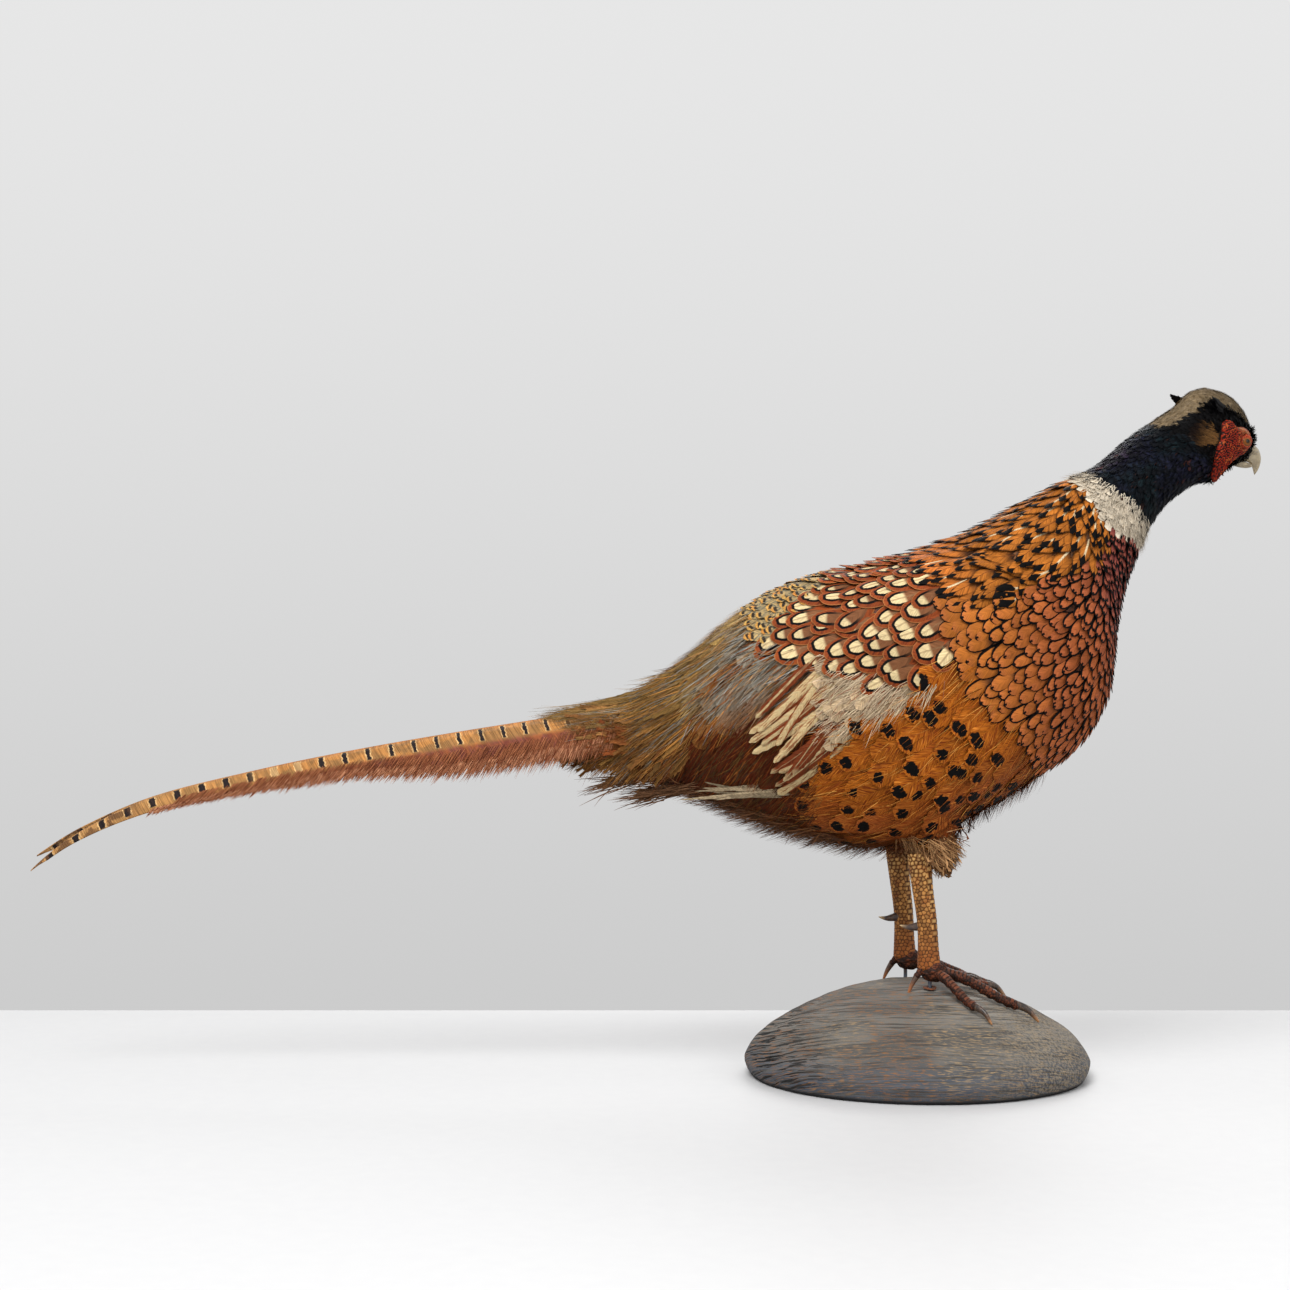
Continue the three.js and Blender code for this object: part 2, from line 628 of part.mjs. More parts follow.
for (const leg of LEGS) {
  const shank = tarsus(leg, GAP);
  add("thigh_" + leg.side, "down", cutBy(thigh(leg), [trunkGrown, shank]));
  add("tarsus_" + leg.side, "leg", tarsus(leg));
  add("spur_" + leg.side, "claw", cutBy(spur(leg), [shank]));
  const done = [shank, wire(leg, GAP)];
  for (const toe of [...TOES, HIND_TOE]) {
    add(`toe_${leg.side}_${toe.name}`, "leg", cutBy(toeShape(leg, toe), done));
    add(`claw_${leg.side}_${toe.name}`, "claw", claw(leg, toe));
    done.push(toeShape(leg, toe, GAP));
  }
  add("wire_" + leg.side, "wire", wire(leg));
}
add("washer_right", "wire", washer(LEGS[0]));

export default bird;
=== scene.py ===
# %% [markdown]
# # A mounted cock pheasant
#
# This lesson dresses a finished construction model, which gives the outline of every part at its real size. We add
# what an eye looks at: feathers, scales, horn, glass and old paint. Everything is in metres, with +X the way the
# bird faces and +Z up.

import math
from types import SimpleNamespace

import bpy
import numpy as np
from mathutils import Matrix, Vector
from mathutils.bvhtree import BVHTree


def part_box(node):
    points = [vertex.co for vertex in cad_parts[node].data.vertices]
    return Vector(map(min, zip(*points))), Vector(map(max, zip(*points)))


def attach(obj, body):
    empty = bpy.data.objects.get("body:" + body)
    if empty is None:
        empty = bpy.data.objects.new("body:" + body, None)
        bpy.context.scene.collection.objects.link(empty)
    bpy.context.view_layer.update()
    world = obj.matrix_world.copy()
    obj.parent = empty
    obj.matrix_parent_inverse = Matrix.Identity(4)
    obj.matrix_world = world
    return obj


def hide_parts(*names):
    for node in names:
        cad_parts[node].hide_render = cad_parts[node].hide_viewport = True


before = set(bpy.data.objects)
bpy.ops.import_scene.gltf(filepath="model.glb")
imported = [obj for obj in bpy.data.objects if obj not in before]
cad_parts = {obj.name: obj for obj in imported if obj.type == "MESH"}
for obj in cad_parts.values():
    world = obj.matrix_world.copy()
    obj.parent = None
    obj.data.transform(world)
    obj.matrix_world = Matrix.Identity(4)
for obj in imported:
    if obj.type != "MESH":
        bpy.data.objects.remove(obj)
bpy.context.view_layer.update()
MM = 0.001
rng = np.random.default_rng(7)

# %% [markdown]
# ## Camera
#
# The camera stands level with the bird's back, a metre and a half to its right. A long lens keeps the near and the
# far side at nearly the same scale.


# %% Camera
def add_object(name, data):
    """An object with its data, placed in the scene."""
    made = bpy.data.objects.new(name, data)
    bpy.context.scene.collection.objects.link(made)
    return made


FRAME_PIXELS = 1290
FOCAL_PIXELS = 2381
SENSOR = 36.0
camera = add_object("camera", bpy.data.cameras.new("camera"))
camera.location = (-0.171, -1.5, 0.270)
camera.rotation_euler = (math.radians(90), 0, 0)
camera.data.sensor_width = SENSOR
camera.data.lens = SENSOR * FOCAL_PIXELS / FRAME_PIXELS
bpy.context.scene.camera = camera
print("lens", round(camera.data.lens, 1), "mm")

# %% [markdown]
# ## Light and floor
#
# Big soft lamps let dark feathers show their edges: one high on the left, a weaker one on the right, and one behind
# for the outline. The floor is a white table top that ends behind the base.


# %% Lamps, world and table
def add_lamp(name, place, aim, size, watts):
    """A square soft lamp at a place, turned to shine on a point."""
    lamp = add_object(name, bpy.data.lights.new(name, "AREA"))
    lamp.data.size = size
    lamp.data.energy = watts
    lamp.location = place
    lamp.rotation_euler = (Vector(aim) - Vector(place)).to_track_quat("-Z", "Y").to_euler()


LIT_POINT = (-0.05, 0, 0.25)
add_lamp("key_lamp", (-0.5, -1.1, 1.7), LIT_POINT, 0.9, 32)
add_lamp("fill_lamp", (1.3, -1.2, 0.8), LIT_POINT, 1.0, 5)
add_lamp("back_lamp", (0.3, 1.5, 1.5), LIT_POINT, 1.2, 14)

world = bpy.data.worlds.new("studio")
bpy.context.scene.world = world
world.use_nodes = True
bpy.context.scene.view_settings.view_transform = "Standard"

TABLE_BACK = 0.26
TABLE_FRONT = -0.9
TABLE_SIDE = 1.6
table = bpy.data.meshes.new("floor")
table.from_pydata([(-TABLE_SIDE, TABLE_FRONT, 0), (TABLE_SIDE, TABLE_FRONT, 0), (TABLE_SIDE, TABLE_BACK, 0),
                   (-TABLE_SIDE, TABLE_BACK, 0)], [], [(0, 1, 2, 3)])
add_object("floor", table)

# %% [markdown]
# ## A short way to write nodes
#
# Every finish below is a small net of nodes. A net makes a node, sets it and gives back its outputs in one call, in
# a material and in a node group alike. The outputs can be added and multiplied like numbers.


# %% The node writer
class Value:
    """A node's output."""

    def __init__(self, net, socket):
        self.net, self.socket = net, socket

    def __add__(self, other):
        return self.net.math("ADD", self, other)

    def __sub__(self, other):
        return self.net.math("SUBTRACT", self, other)

    def __mul__(self, other):
        return self.net.math("MULTIPLY", self, other)

    def __abs__(self):
        return self.net.math("ABSOLUTE", self)

    def most(self, other):
        return self.net.math("MAXIMUM", self, other)

    def band(self, low, high, start=0, end=1):
        """Goes smoothly from start to end as the value goes from low to high."""
        return self.net.node("MapRange", {0: self, 1: low, 2: high, 3: start, 4: end},
                             interpolation_type="SMOOTHSTEP")[0]

    def under(self, limit, soft=0.02):
        """1 where the value is below the limit, with a soft step."""
        if isinstance(limit, Value):
            return (self - limit).band(-soft, soft, 1, 0)
        return self.band(limit - soft, limit + soft, 1, 0)


class Net:
    """Makes nodes in a tree. Each input may be a number, a colour or a value."""

    def __init__(self, tree):
        self.tree = tree

    def put(self, socket, value):
        if isinstance(value, Value):
            self.tree.links.new(value.socket, socket)
        else:
            socket.default_value = value

    def values(self, sockets):
        """Values for a node's outputs, by number and by name."""
        made = {i: Value(self, socket) for i, socket in enumerate(sockets)}
        return {**{value.socket.name: value for value in made.values()}, **made}

    def node(self, kind, inputs=None, **settings):
        made = self.tree.nodes.new("ShaderNode" + kind)
        for key, value in settings.items():
            setattr(made, key, value)
        for key, value in (inputs or {}).items():
            self.put(made.inputs[key], value)
        return self.values(made.outputs)

    def math(self, operation, *values):
        return self.node("Math", dict(enumerate(values)), operation=operation)[0]

    def mix(self, share, a, b, blend="MIX"):
        """Two colours mixed. Three numbers are a colour as a painter reads it off a chart, 0 to 255."""
        a, b = (srgb(*c) if isinstance(c, tuple) and len(c) == 3 else c for c in (a, b))
        return self.node("Mix", {0: share, 6: a, 7: b}, data_type="RGBA", blend_type=blend)[2]

    def laid(self, base, *over):
        """Colours laid over a base in turn. Each comes after the share that it covers."""
        for share, colour in over:
            base = self.mix(share, base, colour)
        return base

    def dimmed(self, colour, shade):
        """A colour made darker or lighter by a number."""
        return self.mix(1, colour, self.node("CombineColor", dict.fromkeys(range(3), shade))[0], "MULTIPLY")

    def noise(self, vector, scale, detail=2, distortion=0):
        inputs = {"Vector": vector, "Scale": scale, "Detail": detail, "Distortion": distortion}
        return self.node("TexNoise", inputs)["Fac"]

    def vector(self, x, y, z):
        return self.node("CombineXYZ", {0: x, 1: y, 2: z})[0]

    def place(self, kind="Object"):
        return self.node("TexCoord")[kind]

    def cloud(self, scale, detail=2, distortion=0):
        return self.noise(self.place(), scale, detail, distortion)

    def parts(self, vector):
        made = self.node("SeparateXYZ", {0: vector})
        return made[0], made[1], made[2]

    def attribute(self, name, output="Fac"):
        return self.node("Attribute", attribute_name=name)[output]

    def group(self, tree, inputs):
        return self.node("Group", inputs, node_tree=tree)

    def looks(self, colour, height=None, depth=0):
        """Gives the material its colour, and a relief of some depth in millimetres."""
        shader = self.tree.nodes["Principled BSDF"].inputs
        self.put(shader["Base Color"], colour)
        if height is not None:
            relief = {"Height": height, "Distance": depth * MM, "Strength": 1}
            self.put(shader["Normal"], self.node("Bump", relief)["Normal"])


def srgb(red, green, blue):
    """A chart colour in the linear values that shaders use."""
    linear = [((v / 255 + 0.055) / 1.055) ** 2.4 if v > 10 else v / 255 / 12.92 for v in (red, green, blue)]
    return (*linear, 1.0)


def rgb(*chart):
    """The same as an array, for colours kept on a mesh."""
    return np.array(srgb(*chart)[:3])


def new_finish(name, roughness, **plain):
    """A material and its net. Plain settings are set on the sockets of its Principled shader."""
    material = bpy.data.materials.new(name)
    material.use_nodes = True
    shader = material.node_tree.nodes["Principled BSDF"]
    for key, value in {"Roughness": roughness, **plain}.items():
        shader.inputs[key.replace("_", " ")].default_value = value
    return material, Net(material.node_tree)


def new_group(name, inputs, outputs):
    """A node group with named number sockets: the group, its net, its inputs and where its results go."""
    tree = bpy.data.node_groups.new(name, "ShaderNodeTree")
    for way, titles in (("INPUT", inputs), ("OUTPUT", outputs)):
        for title in titles:
            tree.interface.new_socket(title, in_out=way, socket_type="NodeSocketFloat")
    net = Net(tree)
    return tree, net, net.values(tree.nodes.new("NodeGroupInput").outputs), tree.nodes.new("NodeGroupOutput").inputs


table_finish, net = new_finish("table_top", 0.55)
net.looks(net.mix(net.cloud(90, 4), (196, 196, 197), (201, 201, 201)))
table.materials.append(table_finish)

# %% [markdown]
# The room is a soft light tent, brightest overhead, which keeps the belly in shade and lets the back catch light.

# %% World
net = Net(world.node_tree)
sky = net.parts(net.place("Generated"))[2]
tent = net.mix(sky.band(-0.26, 0.3), (0.585, 0.585, 0.585, 1), (0.80, 0.80, 0.80, 1))
tent = net.mix(sky.band(-0.6, -0.2, 1, 0), tent, (0.2, 0.2, 0.2, 1))
background = world.node_tree.nodes["Background"]
net.put(background.inputs["Color"], tent)
background.inputs["Strength"].default_value = 1.0

# %% [markdown]
# ## Making meshes from arrays
#
# A bird wears thousands of feathers, so each tract is one mesh made from arrays of points. Besides its points it
# carries a few values for its finish, and an unwrap.


# %% Mesh builder
def build_mesh(name, points, faces, values=None, unwrap=None):
    """A mesh object. values are arrays of numbers per point: one column, three, or four for a colour."""
    mesh = bpy.data.meshes.new(name)
    sizes = np.concatenate([np.full(len(f), f.shape[1]) for f in faces])
    corners = np.concatenate([f.ravel() for f in faces]).astype(np.int32)
    mesh.vertices.add(len(points))
    mesh.vertices.foreach_set("co", np.asarray(points, np.float32).ravel())
    mesh.loops.add(len(corners))
    mesh.loops.foreach_set("vertex_index", corners)
    mesh.polygons.add(len(sizes))
    mesh.polygons.foreach_set("loop_start", (np.cumsum(sizes) - sizes).astype(np.int32))
    mesh.polygons.foreach_set("use_smooth", np.full(len(sizes), True))
    mesh.update(calc_edges=True)
    for title, data in (values or {}).items():
        kinds = {1: ("FLOAT", "value"), 3: ("FLOAT_VECTOR", "vector"), 4: ("FLOAT_COLOR", "color")}
        kind, field = kinds[1 if data.ndim == 1 else data.shape[1]]
        mesh.attributes.new(title, kind, "POINT").data.foreach_set(field, np.asarray(data, np.float32).ravel())
    if unwrap is not None:
        mesh.uv_layers.new(name="OFBake").data.foreach_set("uv", np.asarray(unwrap, np.float32)[corners].ravel())
    return add_object(name, mesh)


def grid_faces(rows, columns, closed=False):
    """Four-sided faces of rows by columns of points. A closed net joins its last column to its first."""
    across = np.arange(columns if closed else columns - 1)
    start = np.arange(rows - 1)[:, None] * columns
    a, b = start + across, start + (across + 1) % columns
    return table_of(a, b, b + columns, a + columns).reshape(-1, 4)


def dress(piece, slot, finish, *nodes):
    """Gives a piece its finish, lets it ride with the model, and hides the nodes that it stands for."""
    piece.data.materials.clear()
    piece.data.materials.append(finish)
    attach(piece, "root")
    if nodes:
        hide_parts(*nodes)
    return piece


def table_of(*parts):
    """Arrays set side by side, as the columns of a table."""
    return np.stack(np.broadcast_arrays(*parts), -1)


def read(items, field, width=3, kind=float):
    """One row of values from each item of a mesh."""
    values = np.empty(len(items) * width, kind)
    items.foreach_get(field, values)
    return values.reshape(-1, width)


def full_turn(count):
    return np.linspace(0, 2 * np.pi, count, endpoint=False)


def unit(v):
    return v / np.maximum(np.linalg.norm(v, axis=-1, keepdims=True), 1e-9)


def square_to(flow, way):
    """The directions nearest to a way that are square to the flow."""
    return unit(way - flow * (way * flow).sum(1, keepdims=True))


# %% [markdown]
# ## The skin
#
# A mount has one skin, pulled over a form. The solids of the flesh reach out to the feather tips, so we melt them
# into one surface with a voxel remesh, smooth the joins away, and sink the result by the depth of the coat.
# Feathers then rise from the skin to the outline.

# %% Melt the flesh into one surface
SIDES = ("right", "left")
HANDS = (("right", -1), ("left", 1))
FLESH = ["trunk", "neck", "head", "tail_coverts", *(f"{part}_{s}" for part in ("wing", "thigh") for s in SIDES)]
VOXEL = 3.2 * MM
pieces = [read(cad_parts[name].data.vertices, "co") for name in FLESH]
solids = []
offset = 0
for name, points in zip(FLESH, pieces):
    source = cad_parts[name].data
    solids += [tuple(offset + v for v in face.vertices) for face in source.polygons]
    offset += len(points)
skin_mesh = bpy.data.meshes.new("skin")
skin_mesh.from_pydata(np.concatenate(pieces).tolist(), [], solids)
skin = add_object("skin", skin_mesh)
for kind, settings in (("REMESH", {"mode": "VOXEL", "voxel_size": VOXEL}),
                       ("SMOOTH", {"factor": 0.7, "iterations": 14})):
    step = skin.modifiers.new(kind.lower(), kind)
    for key, value in settings.items():
        setattr(step, key, value)
evaluated = skin.evaluated_get(bpy.context.evaluated_depsgraph_get())
skin_mesh = bpy.data.meshes.new_from_object(evaluated)
skin.modifiers.clear()
skin.data = skin_mesh
print("skin:", len(skin_mesh.vertices), "points")

# %% [markdown]
# ## Finding one's way on the bird
#
# Feather tracts are described by two numbers: a station along the body, from 0 at the tail coverts to 16 at the
# nape, and an angle round it, 0 on the back and 180 underneath. Each station is a flat cut through the body, given
# by its middle and by how far the cut leans.

# %% Stations along the body
STATIONS = np.array([
    # middle x, middle z, to the left (mm), lean of the cut (degrees)
    (-207, 218, 0, 0), (-172, 214, 0, 3), (-139.5, 220.5, 0, 4), (-105.5, 227.5, 0, 1.5), (-71.5, 231.5, 0, 1),
    (-36, 232, 0, 0), (0, 238.5, 0, -1), (35.5, 254, 0, -1), (66.5, 271, 0, 3), (91.5, 287, 0, 8),
    (106, 305.5, 0, 12), (111.5, 326, 0, 14.5), (119, 344, 0, 19), (130, 362, 1, 30.5), (143, 377, 4, 33.5),
    (160, 390, 8, 35.5), (175, 399, 12, 34.5)])
NAPE = len(STATIONS) - 1
BATCH = 4000


def cut_at(station):
    """Middle, downward direction and forward direction of the cut at each station."""
    number = np.arange(NAPE + 1)
    x, z, left, lean = (np.interp(station, number, STATIONS[:, k]) for k in range(4))
    lean = np.radians(lean)
    down, ahead = table_of(np.sin(lean), 0, -np.cos(lean)), table_of(np.cos(lean), 0, np.sin(lean))
    return table_of(x, left, z) * MM, down, ahead


def find_station(points):
    """Station and angle, in degrees to either side, of each point."""
    steps = np.linspace(0, NAPE, NAPE * 8 + 1)
    middle, _, ahead = cut_at(steps)
    station = np.empty(len(points))
    for first in range(0, len(points), BATCH):
        some = points[first:first + BATCH]
        before = np.einsum("pk,sk->ps", some, ahead) - np.einsum("sk,sk->s", middle, ahead)
        crossing = (before[:, :-1] >= 0) & (before[:, 1:] < 0)
        away = np.linalg.norm(some[:, None] - middle[None, :-1], axis=2)
        best = np.where(crossing, away, 9.0).argmin(1)
        row = np.arange(len(some))
        part = before[row, best] / np.maximum(before[row, best] - before[row, best + 1], 1e-9)
        beyond = np.where(before[:, -1] >= 0, NAPE + 0.01, 0.0)
        found = steps[best] + part * (steps[1] - steps[0])
        station[first:first + BATCH] = np.where(crossing.any(1), found, beyond)
    middle, down, _ = cut_at(station)
    arm = points - middle
    angle = np.degrees(np.arctan2(arm[:, 1], -np.einsum("pk,pk->p", arm, down)))
    return station, angle


# %% [markdown]
# The head has axes of its own, because it is turned to the bird's left and tipped down. Its middle lies between the
# eyes and a little behind them.

# %% The head's axes
HEAD_YAW, HEAD_PITCH, HEAD_ROLL = (math.radians(a) for a in (36, -15, 4))
EYE_AHEAD, EYE_OUT, EYE_UP = 14, 14.2, 3.4
head_ahead = np.array([math.cos(HEAD_YAW) * math.cos(HEAD_PITCH), math.sin(HEAD_YAW) * math.cos(HEAD_PITCH),
                       math.sin(HEAD_PITCH)])
level = np.array([math.sin(HEAD_YAW), -math.cos(HEAD_YAW), 0])
upright = np.cross(level, head_ahead)
head_left = upright * math.sin(HEAD_ROLL) - level * math.cos(HEAD_ROLL)
head_up = upright * math.cos(HEAD_ROLL) + level * math.sin(HEAD_ROLL)
eyes = [np.array((low + high) / 2) for low, high in (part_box("eye_right"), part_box("eye_left"))]
HEAD = (eyes[0] + eyes[1]) / 2 - (EYE_AHEAD * head_ahead + EYE_UP * head_up) * MM


def on_head(ahead, left, up):
    """A point of the model from distances along the head's own axes, in millimetres."""
    parts = zip((ahead, left, up), (head_ahead, head_left, head_up))
    return HEAD + sum(np.asarray(value)[..., None] * MM * axis for value, axis in parts)


def from_head(points):
    arm = points - HEAD
    return table_of(arm @ head_ahead, arm @ head_left, arm @ head_up) / MM


print("head axes: ahead", head_ahead.round(3), "up", head_up.round(3))

# %% Sink the skin by the coat's depth
COAT_STATIONS = [0, 2, 5, 10, 12.5, 14, 16]
COAT_DEPTHS = [3.5, 5, 5, 4.5, 4, 3, 2.6]
co = read(skin_mesh.vertices, "co")
coat_depth = np.interp(find_station(co)[0], COAT_STATIONS, COAT_DEPTHS) * MM
co = co - read(skin_mesh.vertices, "normal") * coat_depth[:, None]
skin_mesh.vertices.foreach_set("co", co.ravel())
skin_mesh.update()

skin_mesh.calc_loop_triangles()
triangles = read(skin_mesh.loop_triangles, "vertices", kind=np.int32)
face_normal = unit(read(skin_mesh.vertices, "normal")[triangles].mean(1))
tree = BVHTree.FromPolygons(co.tolist(), triangles.tolist())


def nearest_on_skin(points):
    """The nearest place on the skin to each point, and the skin's smooth normal there."""
    flat = points.reshape(-1, 3)
    places, faces = np.empty_like(flat), np.empty(len(flat), int)
    for i, point in enumerate(flat.tolist()):
        places[i], _, faces[i], _ = tree.find_nearest(point)
    return places.reshape(points.shape), face_normal[faces].reshape(points.shape)


def skin_at(station, angle):
    """The place on the skin at a station and an angle, seen from the middle of the body."""
    middle, down, _ = cut_at(station)
    turn = np.radians(angle)
    look = -down * np.cos(turn)[:, None] + np.array([0, 1, 0]) * np.sin(turn)[:, None]
    found = middle.copy()
    for i in range(len(middle)):
        hit = tree.ray_cast(middle[i].tolist(), look[i].tolist())[0]
        if hit is not None:
            found[i] = hit
    return found


# %% [markdown]
# A pool of places is scattered over the skin once. Every tract picks roots from it that keep a chosen distance from
# each other, which gives the even but never regular spread of real feathers.

# %% A pool of places for roots
POOL = 150000
corner_a, corner_b, corner_c = (co[triangles[:, k]] for k in range(3))
area = np.linalg.norm(np.cross(corner_b - corner_a, corner_c - corner_a), axis=1) / 2
picked = rng.choice(len(triangles), POOL, p=area / area.sum())
u, v = rng.random((2, POOL, 1))
fold = u + v > 1
u, v = np.where(fold, 1 - u, u), np.where(fold, 1 - v, v)
pool = corner_a[picked] * (1 - u - v) + corner_b[picked] * u + corner_c[picked] * v
pool_normal = face_normal[picked]
pool_station, pool_angle = find_station(pool)
pool_head = from_head(pool)
print("skin area", round(area.sum() * 1e4), "cm2")


def scatter(where, spacing):
    """Numbers of pool places inside a tract, no two nearer than the spacing in millimetres."""
    inside = np.flatnonzero(where)
    spacing = np.broadcast_to(spacing, len(pool))
    kept, cells = [], {}
    size = float(spacing[inside].max()) * MM if len(inside) else 1.0
    for i in inside:
        point = pool[i]
        gap = spacing[i] * MM
        cell = tuple((point // size).astype(int))
        near = [j for dx in (-1, 0, 1) for dy in (-1, 0, 1) for dz in (-1, 0, 1)
                for j in cells.get((cell[0] + dx, cell[1] + dy, cell[2] + dz), ())]
        if near and (((pool[near] - point) ** 2).sum(1) < gap * gap).any():
            continue
        kept.append(i)
        cells.setdefault(cell, []).append(i)
    return np.array(kept, int)


def flow_at(chosen, droop=0.0):
    """The lie of the feathers at pool places: along the body to the tail, turned down by droop degrees."""
    station, angle, up = pool_station[chosen], pool_angle[chosen], pool_normal[chosen]
    flow = skin_at(np.maximum(station - 0.35, 0), angle) - pool[chosen]
    head_share = np.clip((station - 15.2) / 0.8, 0, 1)[:, None]
    flow = unit(flow) * (1 - head_share) - head_ahead * head_share
    flow = square_to(up, np.where(station[:, None] < 0.4, np.array([-1.0, 0, -0.15]), flow))
    turn = (np.radians(droop) * np.sign(angle))[:, None]
    return unit(flow * np.cos(turn) - np.cross(up, flow) * np.sin(turn))


# %% [markdown]
# ## Laying feathers
#
# A feather is a small net of points: rows from root to tip, columns across. Every point moves to the nearest place
# on the skin and is lifted along the normal, more towards the tip, so each feather covers the roots of the ones
# behind it, like tiles. The outer points of every second row stand out a little, which frays the edge.


# %% Feather outlines and the layer
def body_outline(a):
    """Half width of a round-tipped body feather, from root to tip."""
    return np.minimum(a / 0.4, 1) ** 0.6 * np.sqrt(1 - np.clip((a - 0.55) / 0.45, 0, 1) ** 2 * 0.97)


def scale_outline(a):
    """A shorter round tip with a slight point, for scale-like feathers."""
    return np.minimum(a / 0.4, 1) ** 0.6 * (1 - np.clip((a - 0.62) / 0.38, 0, 1) ** 2.2) ** 0.62


def pointed_outline(a):
    return np.minimum(a / 0.3, 1) ** 0.6 * (1 - np.clip((a - 0.45) / 0.55, 0, 1) ** 1.6 * 0.93)


def strand_outline(a):
    return np.minimum(0.55 + a * 1.8, 1) * (1 - a ** 1.8 * 0.9)


STRAND = {"columns": 1, "outline": strand_outline, "cup": 0.0}


def long_outline(a):
    """A flight feather: narrow at the root, then even, with a blunt tip."""
    return np.minimum(a / 0.15 + 0.3, 1) * np.sqrt(1 - np.clip((a - 0.8) / 0.2, 0, 1) ** 2 * 0.97)


def lay_feathers(root, up, flow, length, width, rise, tint, home, rows=8, columns=4,
                 outline=body_outline, comb=0.0, cup=0.12, drape=True, curl=0.0, hook=0.0):
    """Feathers as arrays, from sizes in millimetres. home is the station and angle of each root."""
    count, per = len(root), (rows + 1) * (columns + 1)
    length, width, rise, curl, hook = (np.broadcast_to(np.asarray(v, float), count)[:, None, None]
                                       for v in (length, width, rise, curl, hook))
    a = np.linspace(0, 1, rows + 1)[None, :, None]
    b = np.linspace(-1, 1, columns + 1)[None, None, :]
    half = outline(a) * width / 2
    edge_point = (np.abs(b) == 1) & (np.arange(rows + 1)[None, :, None] % 2 == 1)
    across = b * half + np.sign(b) * edge_point * comb * (a > 0.2)
    along = a * length + edge_point * comb * 1.2
    bent = across + hook * a ** 2 * length * 0.1
    side = np.cross(up, flow)
    flat = (root[:, None, None] + flow[:, None, None] * (along[..., None] * MM)
            + side[:, None, None] * (bent[..., None] * MM))
    ground, lift = nearest_on_skin(flat) if drape else (flat, up[:, None, None])
    height = 0.3 + rise * a ** 0.9 + curl * a ** 3 - cup * b ** 2 * half
    points = ground + lift * (np.maximum(height, 0.1)[..., None] * MM)
    seed = rng.random(count)[:, None, None]
    values = {"vane": table_of((length - along) / 10, across / 10, seed).reshape(-1, 3),
              "half_width": table_of(half / 10, b)[..., 0].ravel(),
              "tint": np.repeat(np.concatenate([tint, np.ones((count, 1))], 1), per, 0)}
    station, angle = (v[:, None, None] for v in home.T)
    unwrap = table_of(station, angle, a - 0.5, b / 2).reshape(-1, 4)
    faces = (grid_faces(rows + 1, columns + 1)[None] + np.arange(count)[:, None, None] * per).reshape(-1, 4)
    return points.reshape(-1, 3), faces, values, unwrap


def unwrap_at(station, angle):
    """A place on the skin's own unwrap: stations along, angle round, left above right."""
    side = np.abs(angle)
    share = [(v - v.min()) / max(np.ptp(v), 1e-6) for v in (station, side)]
    return table_of(0.02 + 0.96 * share[0], 0.02 + 0.46 * share[1] + 0.5 * (angle > 0))


def join_coat(name, layers, slot, finish, patch=0.003):
    """One mesh from several layers of feathers. patch is the size of each feather's place in the unwrap."""
    points, faces, values, homes = zip(*layers)
    start = np.cumsum([0] + [len(some) for some in points[:-1]])
    station, angle, *spot = np.concatenate(homes).T
    made = build_mesh(name, np.concatenate(points), [np.concatenate([f + k for f, k in zip(faces, start)])],
                      {key: np.concatenate([v[key] for v in values]) for key in values[0]},
                      unwrap_at(station, angle) + table_of(*spot) * patch)
    print(f"{name}: {2 * len(made.data.polygons)} triangles")
    return dress(made, slot, finish)


# %% [markdown]
# ## Colours of the coat
#
# Skin and feathers share one colour chart, by station and angle, so that the skin has the same marking where the
# coat parts. The edges of the tracts bend with the body and are written as a few values to read between.

# %% Tract edges and colour chart
LIMITS = {
    # By angle: the station at which a tract begins.
    "collar_low": ([0, 45, 75, 90, 105, 120, 150, 180], [11.3, 11.6, 11.9, 12.1, 12.3, 12.6, 12.75, 12.8]),
    "collar_high": ([0, 45, 75, 90, 105, 120, 150, 180], [11.95, 12.5, 12.9, 13.1, 13.2, 13.25, 13.2, 13.1]),
    "breast_back": ([50, 60, 86, 111, 142, 180], [6.6, 6.65, 6.95, 7.45, 8.1, 8.6]),
    "rump_front": ([85, 120, 158], [4.6, 4.3, 4.3]),
    # By station: the angle at which a tract begins or ends.
    "mantle": ([6.1, 6.5, 6.9, 7.5, 8.8, 10, 11.5], [2, 42, 55, 60, 58, 68, 88]),
    "scapular_top": ([3.7, 4.4, 4.9, 6.3, 6.5, 7.0], [42, 26, -1, -1, 40, 55]),
    "scapular_low": ([3.7, 4.1, 5.2, 5.8, 6.3, 6.8, 7.0], [46, 58, 72, 79, 79, 70, 58]),
    "covert_low": ([4.2, 5.3, 6.2, 6.5], [103, 90, 81, 79]),
    "vent": ([0, 3, 4.2, 5.4], [150, 152, 156, 168]),
    "nape": ([15.2, 15.5, 16], [5, 32, 52]),
}


def limit_of(name, at):
    return np.interp(at, *LIMITS[name])


